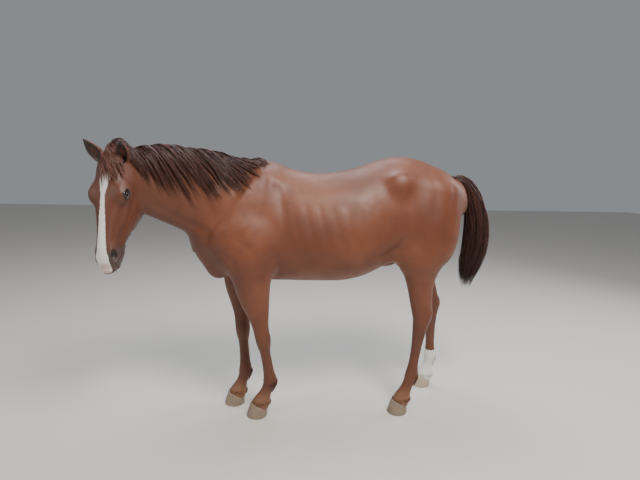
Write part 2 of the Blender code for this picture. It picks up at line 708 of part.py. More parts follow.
def add_forelock(shapes, material):
    """Hair from between the ears, swept down the forehead to the left."""
    rows, columns = 7, 6
    starts, ways, thick = np.zeros((rows, columns, 3)), np.zeros((rows, columns, 3)), np.zeros((rows, columns))
    for i, s in enumerate(np.linspace(0, 1, rows)):
        u = -0.005 + 0.135 * s
        middle, half = 0.010 * s, 0.010 + 0.026 * math.sin(math.pi * 0.75 * s)
        for j, t in enumerate(np.linspace(-1, 1, columns)):
            starts[i, j] = on_head(u + 0.02, middle + half * t, -0.060)
            ways[i, j] = HEAD[2] - 0.35 * (1 - s) * HEAD[0]
            thick[i, j] = 0.006 + 0.012 * (1 - s) * (1 - t * t)
    ways /= np.linalg.norm(ways, axis=2)[:, :, None]
    return add_patch("forelock", starts, ways, thick, shapes, material)


def add_tail(material):
    bm = bmesh.new()
    limb = Limb([(x, y, z, wide, deep, deep) for x, y, z, wide, deep in TAIL], (1.0, 0.0, 0.0), steps=2)
    rings = []
    for i in range(len(limb.rows)):
        verts = ring_on(bm, limb, i, segments=14)
        rings.append(list({e for v in verts for e in v.link_edges}))
    for one, two in zip(rings, rings[1:]):
        bmesh.ops.bridge_loops(bm, edges=one + two)
    for ring in (rings[0], rings[-1]):
        bmesh.ops.edgeloop_fill(bm, edges=ring)
    return make_object("tail", bm, material)


# ---------------------------------------------------------------- the whole horse
MIDDLE = (-0.066, -0.092, 0.0)      # the floor under the middle of the finished horse, which becomes the origin
VOXEL = 0.011
FLESH_FACES = 4000

# where each piece is parted from the rest: a corner of its block, the block's axes and its size
FORE_CUT, KNEE_CUT, HIND_CUT, HOCK_CUT = 0.800, 0.415, 0.885, 0.520
BETWEEN_FORELEGS = -0.030
HEAD_CUT, HEAD_CUT_AXES = (-1.000, -0.250, 1.527), ((0.62, 0.62, 0.48), (0.34, 0.34, -0.878), (0.707, -0.707, 0.0))


def head_block():
    """All ahead of a slanting cut from behind the poll to behind the corners of the jaw."""
    behind, down, side = HEAD_CUT_AXES
    corner = Vector(HEAD_CUT) - Vector(down) * 0.45 - Vector(side) * 0.30 - Vector(behind) * 0.75
    return corner, HEAD_CUT_AXES, (0.75, 0.93, 0.60)


def neck_block():
    """All ahead of a cut from the withers to the top of the breast."""
    withers, breast = Vector((-0.400, 0.0, 1.560)), Vector((-0.740, 0.0, 1.020))
    down = (breast - withers).normalized()
    ahead = Vector((down.z, 0.0, -down.x))
    corner = withers - down * 0.20 + Vector((0.0, -0.60, 0.0))
    return corner, (down, Vector((0.0, 1.0, 0.0)), ahead), (0.20 + 0.62, 1.20, 1.00)


def leg_block(x_low, x_high, top, bottom, side):
    middle = BETWEEN_FORELEGS if x_high < 0 else 0.0
    low_y = middle - 0.5 if side == LEFT else middle
    return (x_low, low_y, bottom), ((1, 0, 0), (0, 1, 0), (0, 0, 1)), (x_high - x_low, 0.5, top - bottom)


def build():
    clear_scene()
    coat = paint("chestnut coat", (0.26, 0.075, 0.030), 0.42)
    hair = paint("mane hair", (0.12, 0.030, 0.018), 0.50)
    horn = paint("hoof horn", (0.42, 0.33, 0.25), 0.60)
    eye = paint("eye", (0.02, 0.012, 0.008), 0.08)
    shapes = flesh_shapes()
    flesh = rough_object("trunk", shapes)
    remesh(flesh, VOXEL)
    drop_inner_shells(flesh)
    settle(flesh, shapes)
    remesh(flesh, VOXEL)
    drop_inner_shells(flesh)
    settle(flesh, shapes, rounds=3)
    thin = flesh.modifiers.new("thin", "DECIMATE")
    thin.ratio = FLESH_FACES / (2 * len(flesh.data.polygons))
    apply_modifiers(flesh)
    flesh.data.materials.clear()
    flesh.data.materials.append(coat)
    flesh.data.shade_smooth()

    shell = flesh.copy()
    shell.data = flesh.data.copy()
    bpy.context.scene.collection.objects.link(shell)
    swell(shell, 2 * GAP)
    ears = [add_ear(side, coat) for side in (LEFT, RIGHT)]
    tail = add_tail(hair)
    mane = add_mane(shapes, hair)
    forelock = add_forelock(shapes, hair)
    for obj in (*ears, tail, mane, forelock):
        carve(obj, shell)
    carve(mane, flesh)
    bpy.data.objects.remove(shell)

    for side in (LEFT, RIGHT):
        for cutter in (lids_hollow(side, coat), add_eye(side, EYE_RADIUS + GAP, coat)):
            carve(flesh, cutter)
            bpy.data.objects.remove(cutter)
        add_eye(side, EYE_RADIUS, eye)
    for key in HOOVES:
        part = part_from(flesh, "below the coronet", *coronet_plane(key))
        bpy.data.objects.remove(part)
        add_hoof(key, horn)
    part_from(flesh, "head", *head_block())
    part_from(flesh, "neck", *neck_block())
    for side in (LEFT, RIGHT):
        name = SIDE_NAME[side]
        part_from(flesh, "cannon_fore_" + name, *leg_block(-0.7, -0.1, KNEE_CUT, 0.0, side))
        part_from(flesh, "forearm_" + name, *leg_block(-0.7, -0.1, FORE_CUT, KNEE_CUT + GAP, side))
        part_from(flesh, "cannon_hind_" + name, *leg_block(0.38, 1.1, HOCK_CUT, 0.0, side))
        part_from(flesh, "gaskin_" + name, *leg_block(0.38, 1.1, HIND_CUT, HOCK_CUT + GAP, side))
    for obj in bpy.data.objects:
        obj.data.transform(Matrix.Translation(-Vector(MIDDLE)))


build()
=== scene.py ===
"""A life-size standing chestnut horse, its head turned to its left: skin, long hair in locks, eyes and hooves."""
import math

import bmesh
import bpy
import numpy as np
from mathutils import Matrix, Vector


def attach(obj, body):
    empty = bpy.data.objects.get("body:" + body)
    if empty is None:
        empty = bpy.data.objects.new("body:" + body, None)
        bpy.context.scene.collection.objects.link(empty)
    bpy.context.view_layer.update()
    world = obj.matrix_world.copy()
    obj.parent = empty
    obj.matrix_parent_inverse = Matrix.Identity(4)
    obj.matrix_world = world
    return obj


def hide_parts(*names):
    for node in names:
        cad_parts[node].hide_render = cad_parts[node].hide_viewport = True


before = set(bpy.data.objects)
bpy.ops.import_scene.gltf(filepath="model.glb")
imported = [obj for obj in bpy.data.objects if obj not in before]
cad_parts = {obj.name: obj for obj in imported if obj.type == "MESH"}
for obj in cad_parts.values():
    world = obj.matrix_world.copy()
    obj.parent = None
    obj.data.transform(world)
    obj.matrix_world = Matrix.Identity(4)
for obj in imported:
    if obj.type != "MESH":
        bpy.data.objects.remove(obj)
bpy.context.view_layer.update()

# ---------------------------------------------------------------- floor, light and camera
# A plain pale floor, a few large soft lamps overhead, and a camera at a person's height.
MIDDLE = Vector((-0.066, -0.092, 0.0))      # the body's own drawing frame is set back by this
FLOOR_HALF, FLOOR_PAINT = 14.0, (0.66, 0.63, 0.59, 1.0)
SKY_COLOUR, SKY_STRENGTH = (0.86, 0.90, 0.95, 1.0), 0.30


def linked(name, data):
    """A new object in the scene that holds the data."""
    obj = bpy.data.objects.new(name, data)
    bpy.context.scene.collection.objects.link(obj)
    return obj


def lamp(name, place, aim, size, watts, colour):
    data = bpy.data.lights.new(name, "AREA")
    data.shape, data.size, data.energy, data.color = "DISK", size, watts, colour
    obj = linked(name, data)
    obj.location = place
    obj.rotation_euler = (Vector(place) - Vector(aim)).to_track_quat("Z", "Y").to_euler()


lamp("key lamp", (0.9, -2.6, 4.4), (0.0, 0.0, 0.9), 1.8, 250.0, (1.0, 0.955, 0.90))
lamp("front lamp", (-4.2, -2.4, 2.6), (-0.9, -0.2, 1.1), 2.0, 45.0, (1.0, 0.97, 0.94))
lamp("sky lamp", (0.0, 1.6, 4.8), (0.0, 0.0, 1.0), 3.0, 130.0, (0.88, 0.94, 1.0))
lamp("rear lamp", (4.2, 1.2, 2.8), (0.3, 0.0, 1.0), 2.4, 70.0, (0.95, 0.97, 1.0))
world = bpy.data.worlds.new("studio")
world.use_nodes = True
sky = world.node_tree.nodes["Background"].inputs
sky["Color"].default_value, sky["Strength"].default_value = SKY_COLOUR, SKY_STRENGTH
bpy.context.scene.world = world

bm = bmesh.new()
bmesh.ops.create_grid(bm, x_segments=1, y_segments=1, size=FLOOR_HALF)
floor_mesh = bpy.data.meshes.new("floor")
bm.to_mesh(floor_mesh)
bm.free()
floor = linked("floor", floor_mesh)
floor_paint = bpy.data.materials.new("pale floor")
floor_paint.use_nodes = True
paint = floor_paint.node_tree.nodes["Principled BSDF"].inputs
paint["Base Color"].default_value, paint["Roughness"].default_value = FLOOR_PAINT, 0.85
floor_mesh.materials.append(floor_paint)

LENS, SENSOR = 27.0, 36.0
AIM_TURN, AIM_DROP, AIM_ROLL = math.radians(8.0), math.atan(75.0 / 480.0), math.radians(1.5)
STAND = Vector((-0.399, -2.842, 1.500))
ahead = Vector((math.sin(AIM_TURN) * math.cos(AIM_DROP), math.cos(AIM_TURN) * math.cos(AIM_DROP),
                -math.sin(AIM_DROP)))
across = Vector((math.cos(AIM_TURN), -math.sin(AIM_TURN), 0.0))
above = across.cross(ahead)
right_way = across * math.cos(AIM_ROLL) + above * math.sin(AIM_ROLL)
up_way = above * math.cos(AIM_ROLL) - across * math.sin(AIM_ROLL)
camera_data = bpy.data.cameras.new("camera")
camera_data.lens, camera_data.sensor_width = LENS, SENSOR
camera = linked("camera", camera_data)
turn = Matrix((right_way, up_way, -ahead)).transposed().to_4x4()
camera.matrix_world = Matrix.Translation(STAND - MIDDLE) @ turn
bpy.context.scene.camera = camera

# ---------------------------------------------------------------- skin
# One hide over muscle and bone from muzzle to hooves, with the ears drawn out of it. Its form is a blend of swept
# and round shapes, finer than the solids: lids, nostrils, lips, folds, tendons and the grooves between muscles.
UP = Vector((0.0, 0.0, 1.0))
FORWARD = Vector((-1.0, 0.0, 0.0))
LEFT, RIGHT = -1, 1


def smooth_rows(rows, steps):
    """Rows of numbers with steps - 1 more rows between each pair, on a smooth curve through all of them."""
    rows = np.asarray(rows, float)
    run = np.linalg.norm(np.diff(rows[:, :3], axis=0), axis=1)
    at = np.concatenate([[0.0], np.cumsum(run)])
    slope = np.gradient(rows, at, axis=0)
    out = []
    for i in range(len(rows) - 1):
        for t in np.arange(steps) / steps:
            h = run[i]
            out.append((2 * t**3 - 3 * t**2 + 1) * rows[i] + (t**3 - 2 * t**2 + t) * h * slope[i]
                       + (3 * t**2 - 2 * t**3) * rows[i + 1] + (t**3 - t**2) * h * slope[i + 1])
    return np.array(out + [rows[-1]])


class Limb:
    """A swept shape. Each row holds a centre, half-width, depth towards `ref`, depth away from it, and roundness.

    With an `axis` its sections stand square to that line, whatever way the centres wander.
    """

    def __init__(self, rows, ref, blend=0.04, steps=4, carve=False, axis=None):
        rows = np.array([list(r) + [2.0] * (7 - len(r)) for r in rows], float)
        self.rows = smooth_rows(rows, steps)
        self.blend, self.carve, self.axis = blend, carve, axis
        centre = self.rows[:, :3]
        tangent = np.gradient(centre, axis=0) if axis is None else np.tile(axis, (len(centre), 1))
        self.tangent = tangent / np.linalg.norm(tangent, axis=1)[:, None]
        front = np.array(ref, float) - self.tangent * (self.tangent @ np.array(ref, float))[:, None]
        self.front = front / np.linalg.norm(front, axis=1)[:, None]
        self.side = np.cross(self.tangent, self.front)
        reach = self.rows[:, 3:6].max() + 0.10
        self.low, self.high = centre.min(0) - reach, centre.max(0) + reach

    def place(self, p):
        """Which stretch of the limb each point lies beside, and how far along it."""
        a, ab = self.rows[:-1, :3], np.diff(self.rows[:, :3], axis=0)
        if self.axis is not None:
            stops = self.rows[:, :3] @ self.axis
            i = np.clip(np.searchsorted(stops, p @ self.axis) - 1, 0, len(a) - 1)
            t = np.clip((p @ self.axis - stops[i]) / (stops[i + 1] - stops[i]), 0, 1)
            return i, t[:, None]
        length2 = (ab * ab).sum(1)
        reach = p @ ab.T - (a * ab).sum(1)
        along = np.clip(reach / length2, 0, 1)
        gap2 = (a * a).sum(1) - 2 * p @ a.T - 2 * along * reach + along**2 * length2
        i = gap2.argmin(1)
        return i, along[np.arange(len(p)), i][:, None]

    def distance(self, p):
        i, t = self.place(p)
        row = self.rows[i] * (1 - t) + self.rows[i + 1] * t
        front = self.front[i] * (1 - t) + self.front[i + 1] * t
        side = self.side[i] * (1 - t) + self.side[i + 1] * t
        tangent = self.tangent[i] * (1 - t) + self.tangent[i + 1] * t
        off = p - row[:, :3]
        s, f, e = (off * side).sum(1), (off * front).sum(1), (off * tangent).sum(1)
        ends = ((i == 0) & (t[:, 0] == 0)) | ((i == len(self.rows) - 2) & (t[:, 0] == 1))
        depth = np.where(f > 0, row[:, 4], row[:, 5])
        n = row[:, 6]
        cap = np.minimum(row[:, 3], depth)
        rho = (np.abs(s / row[:, 3])**n + np.abs(f / depth)**n)**(1 / n)
        rho = np.sqrt(rho**2 + np.where(ends, e / cap, 0)**2)
        far = np.sqrt(s * s + f * f + np.where(ends, e, 0)**2)
        return np.where(rho > 1e-6, far * (1 - 1 / np.maximum(rho, 1e-6)), -cap)


class Ball:
    """An ellipsoid with its own axes."""

    def __init__(self, centre, radii, axes=None, blend=0.04, carve=False):
        self.centre, self.radii = np.array(centre, float), np.array(radii, float)
        self.axes = np.eye(3) if axes is None else np.array([Vector(a).normalized() for a in axes])
        self.blend, self.carve = blend, carve
        reach = self.radii.max() + 0.10
        self.low, self.high = self.centre - reach, self.centre + reach

    def distance(self, p):
        q = (p - self.centre) @ self.axes.T
        rho = np.linalg.norm(q / self.radii, axis=1)
        far = np.linalg.norm(q, axis=1)
        return np.where(rho > 1e-6, far * (1 - 1 / np.maximum(rho, 1e-6)), -self.radii.min())


class Crease:
    """A soft groove along a line where depth is positive, or a ridge where it is negative."""

    def __init__(self, line, width, depth):
        self.line = smooth_rows(line, 4)
        self.width, self.depth = width, depth
        self.low, self.high = self.line.min(0) - 3 * width, self.line.max(0) + 3 * width

    def lift(self, p):
        a, ab = self.line[:-1], np.diff(self.line, axis=0)
        best = np.full(len(p), 1e9)
        for start, run in zip(a, ab):
            t = np.clip((p - start) @ run / (run @ run), 0, 1)
            best = np.minimum(best, ((p - start - t[:, None] * run)**2).sum(1))
        return self.depth * np.exp(-best / self.width**2)


def body_distance(p, shapes):
    """How far each point lies outside the blended shapes."""
    found = np.full(len(p), 1.0)
    for shape in shapes:
        near = ((p > shape.low) & (p < shape.high)).all(1)
        if not near.any():
            continue
        if isinstance(shape, Crease):
            found[near] += shape.lift(p[near])
            continue
        mine, old, k = shape.distance(p[near]), found[near], shape.blend
        if shape.carve:
            mine = -mine
            h = np.maximum(k - np.abs(old - mine), 0) / k
            found[near] = np.maximum(old, mine) + h * h * k / 4
        else:
            h = np.maximum(k - np.abs(old - mine), 0) / k
            found[near] = np.minimum(old, mine) - h * h * k / 4
    return found


# x, half-width, height of the back, of the widest level and of the belly, roundness
TRUNK = (
    (-0.625, 0.115, 1.110, 0.990, 0.895, 2.0),
    (-0.570, 0.165, 1.330, 1.050, 0.850, 1.9),
    (-0.480, 0.200, 1.455, 1.070, 0.822, 1.8),
    (-0.370, 0.220, 1.503, 1.060, 0.812, 1.75),
    (-0.280, 0.238, 1.500, 1.050, 0.810, 1.75),
    (-0.190, 0.258, 1.478, 1.050, 0.810, 1.85),
    (-0.100, 0.276, 1.458, 1.050, 0.810, 1.95),
    (0.020, 0.294, 1.455, 1.050, 0.810, 2.05),
    (0.140, 0.303, 1.472, 1.060, 0.815, 2.1),
    (0.250, 0.298, 1.505, 1.090, 0.840, 2.1),
    (0.350, 0.278, 1.540, 1.140, 0.885, 2.1),
    (0.450, 0.262, 1.560, 1.200, 0.940, 2.1),
    (0.560, 0.252, 1.553, 1.240, 1.010, 2.1),
    (0.670, 0.225, 1.517, 1.250, 1.050, 2.1),
    (0.770, 0.165, 1.473, 1.260, 1.110, 2.0),
    (0.815, 0.100, 1.440, 1.280, 1.180, 2.0),
)
# centre, half-width, height above it and depth below it
NECK = (
    (-0.400, 0.000, 1.200, 0.185, 0.290, 0.290),
    (-0.540, -0.010, 1.245, 0.148, 0.275, 0.258),
    (-0.655, -0.060, 1.305, 0.113, 0.250, 0.238),
    (-0.750, -0.125, 1.350, 0.092, 0.218, 0.222),
    (-0.830, -0.175, 1.380, 0.083, 0.196, 0.208),
    (-0.905, -0.220, 1.405, 0.079, 0.172, 0.192),
    (-0.975, -0.255, 1.428, 0.074, 0.145, 0.170),
    (-1.040, -0.285, 1.448, 0.060, 0.095, 0.130),
)
SHEATH = ((0.420, 0.0, 0.925), (0.065, 0.030, 0.035))


def trunk_shapes():
    rows = [(x, 0, mid, wide, top - mid, mid - low, n) for x, wide, top, mid, low, n in TRUNK]
    found = [Limb(rows, UP, blend=0.05, axis=np.array((1.0, 0.0, 0.0))), Ball(*SHEATH, blend=0.05)]
    for s in (LEFT, RIGHT):
        found += [
            Limb([(-0.330, s * 0.100, 1.400, 0.050, 0.090, 0.090),
                  (-0.470, s * 0.140, 1.250, 0.060, 0.110, 0.110),
                  (-0.570, s * 0.150, 1.120, 0.060, 0.090, 0.090)], FORWARD, blend=0.08),
            Ball((-0.590, s * 0.150, 1.060), (0.060, 0.055, 0.075), blend=0.06),
            Ball((-0.600, s * 0.070, 0.940), (0.075, 0.070, 0.105), blend=0.06),
            Ball((-0.385, s * 0.185, 1.020), (0.130, 0.060, 0.140), blend=0.07),
            Ball((0.425, s * 0.212, 1.405), (0.058, 0.034, 0.054), blend=0.09),
            Ball((0.775, s * 0.090, 1.300), (0.060, 0.060, 0.080), blend=0.09),
        ]
    return found


NECK_WAY = Vector((-0.861, -0.383, 0.334))


def neck_shapes():
    return [Limb(NECK, UP, blend=0.11, axis=np.array(NECK_WAY))]


# A leg is drawn along its joints. Each row: place along the joints, half-width, depth in front and behind.
PASTERN = (
    (3.30, 0.033, 0.032, 0.037),
    (3.65, 0.036, 0.037, 0.038),
    (4.00, 0.048, 0.052, 0.050),
    (4.20, 0.050, 0.054, 0.050),
)
FORELEG = (
    (0.00, 0.100, 0.150, 0.150),
    (0.55, 0.098, 0.155, 0.140),
    (1.00, 0.084, 0.118, 0.115),
    (1.20, 0.073, 0.106, 0.098),
    (1.40, 0.061, 0.092, 0.080),
    (1.60, 0.051, 0.068, 0.064),
    (1.78, 0.043, 0.050, 0.050),
    (1.90, 0.045, 0.046, 0.047),
    (2.00, 0.048, 0.044, 0.049),
    (2.13, 0.044, 0.040, 0.044),
    (2.28, 0.033, 0.031, 0.035),
    (2.50, 0.029, 0.028, 0.035),
    (2.78, 0.030, 0.030, 0.038),
    (3.00, 0.038, 0.040, 0.044),
) + PASTERN
HINDLEG = (
    (0.00, 0.120, 0.190, 0.150),
    (0.40, 0.135, 0.215, 0.182),
    (0.70, 0.130, 0.200, 0.182),
    (1.00, 0.108, 0.160, 0.148),
    (1.22, 0.082, 0.116, 0.096),
    (1.45, 0.065, 0.090, 0.068),
    (1.68, 0.052, 0.074, 0.066),
    (1.88, 0.046, 0.060, 0.066),
    (2.00, 0.048, 0.052, 0.060),
    (2.14, 0.045, 0.044, 0.050),
    (2.30, 0.037, 0.036, 0.042),
    (2.52, 0.030, 0.029, 0.036),
    (2.78, 0.029, 0.028, 0.034),
    (3.00, 0.038, 0.038, 0.043),
) + PASTERN
# joints from the top: shoulder, elbow, knee, fetlock, top of the hoof
FORE_JOINTS = {
    LEFT: ((-0.470, -0.140, 1.120), (-0.410, -0.158, 0.880), (-0.342, -0.130, 0.480),
           (-0.299, -0.118, 0.212), (-0.340, -0.116, 0.095)),
    RIGHT: ((-0.520, 0.140, 1.120), (-0.480, 0.150, 0.880), (-0.464, 0.092, 0.475),
            (-0.447, 0.060, 0.205), (-0.482, 0.050, 0.092)),
}
# hip, stifle, hock, fetlock, top of the hoof
HIND_JOINTS = {
    LEFT: ((0.660, -0.125, 1.340), (0.590, -0.170, 0.960), (0.607, -0.160, 0.600),
           (0.563, -0.155, 0.230), (0.518, -0.152, 0.095)),
    RIGHT: ((0.680, 0.125, 1.340), (0.690, 0.175, 0.960), (0.795, 0.185, 0.570),
            (0.815, 0.195, 0.205), (0.795, 0.197, 0.092)),
}


def leg_rows(joints, profile):
    joints = np.array(joints)
    rows = []
    for place, wide, front, back in profile:
        i = min(int(place), len(joints) - 2)
        centre = joints[i] + (place - i) * (joints[i + 1] - joints[i])
        rows.append((*centre, wide, front, back))
    return rows


def leg_shapes():
    found = []
    for side in (LEFT, RIGHT):
        found.append(Limb(leg_rows(FORE_JOINTS[side], FORELEG), FORWARD, blend=0.06))
        found.append(Limb(leg_rows(HIND_JOINTS[side], HINDLEG), FORWARD, blend=0.08))
        hock = np.array(HIND_JOINTS[side][2])
        found.append(Ball(hock + (0.043, 0.0, 0.030), (0.020, 0.020, 0.036), blend=0.03))
    return found


POLL = Vector((-1.099, -0.376, 1.545))
NOSE = Vector((-1.123, -0.514, 0.961))
LEFT_CHEEK = Vector((0.932, -0.360, 0.030))      # the way the left side of the head faces

# along the face from the poll, half-width, then levels above it: top, middle and underside, and roundness
SKULL = (
    (-0.020, 0.045, -0.030, -0.080, -0.125, 2.2),
    (0.020, 0.068, -0.004, -0.075, -0.160, 2.4),
    (0.090, 0.082, 0.008, -0.070, -0.165, 2.5),
    (0.160, 0.088, 0.010, -0.065, -0.160, 2.5),
    (0.220, 0.084, 0.005, -0.060, -0.150, 2.4),
    (0.300, 0.067, 0.001, -0.058, -0.140, 2.3),
    (0.380, 0.054, -0.002, -0.055, -0.118, 2.2),
    (0.440, 0.050, -0.004, -0.052, -0.108, 2.2),
    (0.495, 0.058, -0.010, -0.056, -0.108, 2.1),
    (0.540, 0.056, -0.024, -0.062, -0.106, 2.0),
    (0.570, 0.040, -0.044, -0.068, -0.096, 2.0),
)
JAW = (
    (0.030, 0.042, -0.100, -0.150, -0.205, 2.0),
    (0.080, 0.068, -0.100, -0.160, -0.272, 2.0),
    (0.140, 0.080, -0.100, -0.165, -0.308, 2.0),
    (0.200, 0.082, -0.100, -0.165, -0.320, 2.0),
    (0.260, 0.074, -0.090, -0.155, -0.306, 2.0),
    (0.320, 0.062, -0.090, -0.140, -0.266, 2.0),
    (0.380, 0.049, -0.080, -0.120, -0.208, 2.0),
    (0.440, 0.045, -0.080, -0.107, -0.168, 2.0),
    (0.495, 0.045, -0.085, -0.108, -0.164, 2.0),
    (0.545, 0.036, -0.085, -0.102, -0.148, 2.0),
)


def head_axes():
    """Along the face, to the horse's left, and out of the forehead."""
    along = (NOSE - POLL).normalized()
    left = (LEFT_CHEEK - along * LEFT_CHEEK.dot(along)).normalized()
    return along, left, along.cross(left)


HEAD = np.array(head_axes())


def on_head(u, v, w):
    """A place given in the head's own axes."""
    return tuple(np.array(POLL) + np.array((u, v, w)) @ HEAD)


def head_limb(rows, **more):
    placed = [(*on_head(u, 0, mid), wide, top - mid, mid - low, n) for u, wide, top, mid, low, n in rows]
    return Limb(placed, HEAD[2], axis=HEAD[0], **more)


def head_shapes():
    found = [head_limb(SKULL, blend=0.05), head_limb(JAW, blend=0.03)]
    for s in (-1, 1):
        found += [
            Ball(on_head(0.135, s * 0.042, -0.160), (0.095, 0.036, 0.088), HEAD, blend=0.03),
            Ball(on_head(0.205, s * 0.079, -0.036), (0.044, 0.0235, 0.034), HEAD, blend=0.045),
            Limb([(*on_head(0.230, s * 0.082, -0.078), 0.014, 0.014, 0.014),
                  (*on_head(0.340, s * 0.052, -0.085), 0.010, 0.010, 0.010)], HEAD[2], blend=0.03),
        ]
    return found


def flesh_shapes():
    return trunk_shapes() + leg_shapes() + neck_shapes() + head_shapes()


def ring_on(bm, limb, i, segments=12):
    """The outline of the limb's section on its row i."""
    row, side, front, tangent = limb.rows[i], limb.side[i], limb.front[i], limb.tangent[i]
    depth, lean = (row[4] + row[5]) / 2, (row[4] - row[5]) / 2
    place = Matrix.Translation(Vector(row[:3] + front * lean))
    turn = Matrix((side * row[3], front * depth, tangent)).transposed().to_4x4()
    return bmesh.ops.create_circle(bm, segments=segments, radius=1.0, matrix=place @ turn)["verts"]


def add_links(bm, limb):
    """The limb as a chain of convex links, each the hull of two sections."""
    for i in range(len(limb.rows) - 1):
        ends = ring_on(bm, limb, i) + ring_on(bm, limb, i + 1)
        hull = bmesh.ops.convex_hull(bm, input=ends)
        inside = set(hull["geom_interior"]) | set(hull["geom_unused"])
        bmesh.ops.delete(bm, geom=[v for v in inside if isinstance(v, bmesh.types.BMVert)], context="VERTS")


def add_ball(bm, ball):
    place = Matrix.Translation(Vector(ball.centre))
    turn = Matrix([tuple(a * r) for a, r in zip(ball.axes, ball.radii)]).transposed().to_4x4()
    bmesh.ops.create_icosphere(bm, subdivisions=2, radius=1.0, matrix=place @ turn)


def rough_object(name, shapes):
    """All of the shapes' lofts and balls in one mesh, still crossing each other."""
    bm = bmesh.new()
    for shape in shapes:
        if isinstance(shape, Limb) and not shape.carve:
            add_links(bm, shape)
        if isinstance(shape, Ball) and not shape.carve:
            add_ball(bm, shape)
    bmesh.ops.recalc_face_normals(bm, faces=bm.faces)
    mesh = bpy.data.meshes.new(name)
    bm.to_mesh(mesh)
    bm.free()
    return linked(name, mesh)


def apply_modifiers(obj):
    graph = bpy.context.evaluated_depsgraph_get()
    mesh = bpy.data.meshes.new_from_object(obj.evaluated_get(graph))
    obj.modifiers.clear()
    old, obj.data = obj.data, mesh
    bpy.data.meshes.remove(old)


def remesh(obj, voxel):
    modifier = obj.modifiers.new("join", "REMESH")
    modifier.mode, modifier.voxel_size, modifier.adaptivity = "VOXEL", voxel, 0.0
    apply_modifiers(obj)


def drop_inner_shells(obj):
    """Keeps the largest connected surface, so that no hollow is left where shapes cross."""
    bm = bmesh.new()
    bm.from_mesh(obj.data)
    left, largest = set(bm.verts), set()
    while left:
        found, edge = set(), [left.pop()]
        while edge:
            vert = edge.pop()
            found.add(vert)
            near = {e.other_vert(vert) for e in vert.link_edges} & left
            left -= near
            edge.extend(near)
        if len(found) > len(largest):
            largest = found
    bmesh.ops.delete(bm, geom=[v for v in bm.verts if v not in largest], context="VERTS")
    bm.to_mesh(obj.data)
    bm.free()


def skin_reach(start, way, shapes, offset):
    """How far out along each ray the blended surface lies, less the offset inside it."""
    low, high = np.zeros(len(start)), np.full(len(start), 0.45)
    for _ in range(16):
        middle = (low + high) / 2
        inside = body_distance(start + way * middle[:, None], shapes) < offset
        low, high = np.where(inside, middle, low), np.where(inside, high, middle)
    return low


EYE_CENTRE, EYE_RADIUS = (0.210, 0.082, -0.036), 0.0215
LIDS_CENTRE, LIDS_RADII = (0.210, 0.112, -0.034), (0.019, 0.019, 0.012)    # the hollow between the lids
EAR_ROOT = (0.050, 0.052, -0.065)                  # of the left ear, in the head's axes
EAR_TIPS = {LEFT: (-0.034, 0.102, 0.042), RIGHT: (-0.050, 0.104, 0.042)}
EAR_OPENS = (0.55, 0.30, 0.75)
EAR_TURNS = {LEFT: (0.0, -0.10, 0.0), RIGHT: (0.0, 0.55, 0.10)}      # each ear is swivelled a little on its own
COAT_DEPTH = 0.0015


def body_mark(side, line, width, depth, base, inner=None):
    """A groove or ridge drawn on one flank through (x, z) places, set on the skin itself."""
    starts = np.array([(x, 0.0 if inner is None else inner(x, z), z) for x, z in line])
    way = np.tile((0.0, float(side), 0.0), (len(line), 1))
    reach = skin_reach(starts, way, base, 0.0)
    return Crease(starts + way * reach[:, None], width, depth)


def neck_middle(x, z):
    """How far the middle of the neck has swung to the left at this x."""
    return np.interp(-x, [-row[0] for row in NECK], [row[1] for row in NECK])


def head_mark(line, width, depth, base):
    """The same on the head, through (u, v, way out) places measured from the middle of the skull."""
    starts = np.array([on_head(u, 0.0, w) for u, v, w in line])
    way = np.array([v * HEAD[1] for u, v, w in line])
    reach = skin_reach(starts, way, base, 0.0)
    return Crease(starts + way * reach[:, None], width, depth)


# the (x, z) places of each line on the flank, its width, and its depth, which is negative for a ridge
FLANK_MARKS = (
    ([(-0.40, 1.45), (-0.50, 1.32), (-0.60, 1.19), (-0.655, 1.08)], 0.026, 0.007),
    ([(-0.41, 1.40), (-0.49, 1.26), (-0.55, 1.14)], 0.022, -0.005),
    ([(-0.33, 1.42), (-0.36, 1.30), (-0.40, 1.18), (-0.47, 1.10)], 0.020, 0.0035),
    ([(-0.27, 1.37), (-0.235, 1.22), (-0.235, 1.08), (-0.30, 0.96)], 0.028, 0.006),
    ([(-0.49, 1.09), (-0.41, 1.02), (-0.35, 0.93)], 0.022, 0.0045),
    ([(-0.27, 0.98), (-0.26, 0.90), (-0.28, 0.83)], 0.020, 0.006),
    ([(-0.60, 1.02), (-0.52, 0.97), (-0.49, 0.87)], 0.020, 0.005),
    ([(0.35, 1.40), (0.37, 1.31), (0.40, 1.22)], 0.055, 0.004),
    ([(0.33, 0.99), (0.40, 1.03), (0.46, 1.10)], 0.022, 0.007),
    ([(0.36, 0.94), (0.44, 0.97), (0.50, 1.02)], 0.026, -0.006),
    ([(0.74, 1.38), (0.715, 1.24), (0.69, 1.10), (0.645, 0.97)], 0.020, 0.006),
    ([(0.47, 1.36), (0.50, 1.22), (0.53, 1.09), (0.56, 1.00)], 0.028, 0.0035),
    ([(0.60, 1.47), (0.62, 1.36), (0.61, 1.24)], 0.030, 0.003),
)
NECK_MARKS = (
    ([(-0.90, 1.27), (-0.82, 1.215), (-0.73, 1.16), (-0.66, 1.12)], 0.020, 0.007),
    ([(-0.90, 1.42), (-0.78, 1.36), (-0.66, 1.27), (-0.60, 1.21)], 0.030, 0.004),
)
RIBS, RIB_STEP, FIRST_RIB = 7, 0.075, -0.17


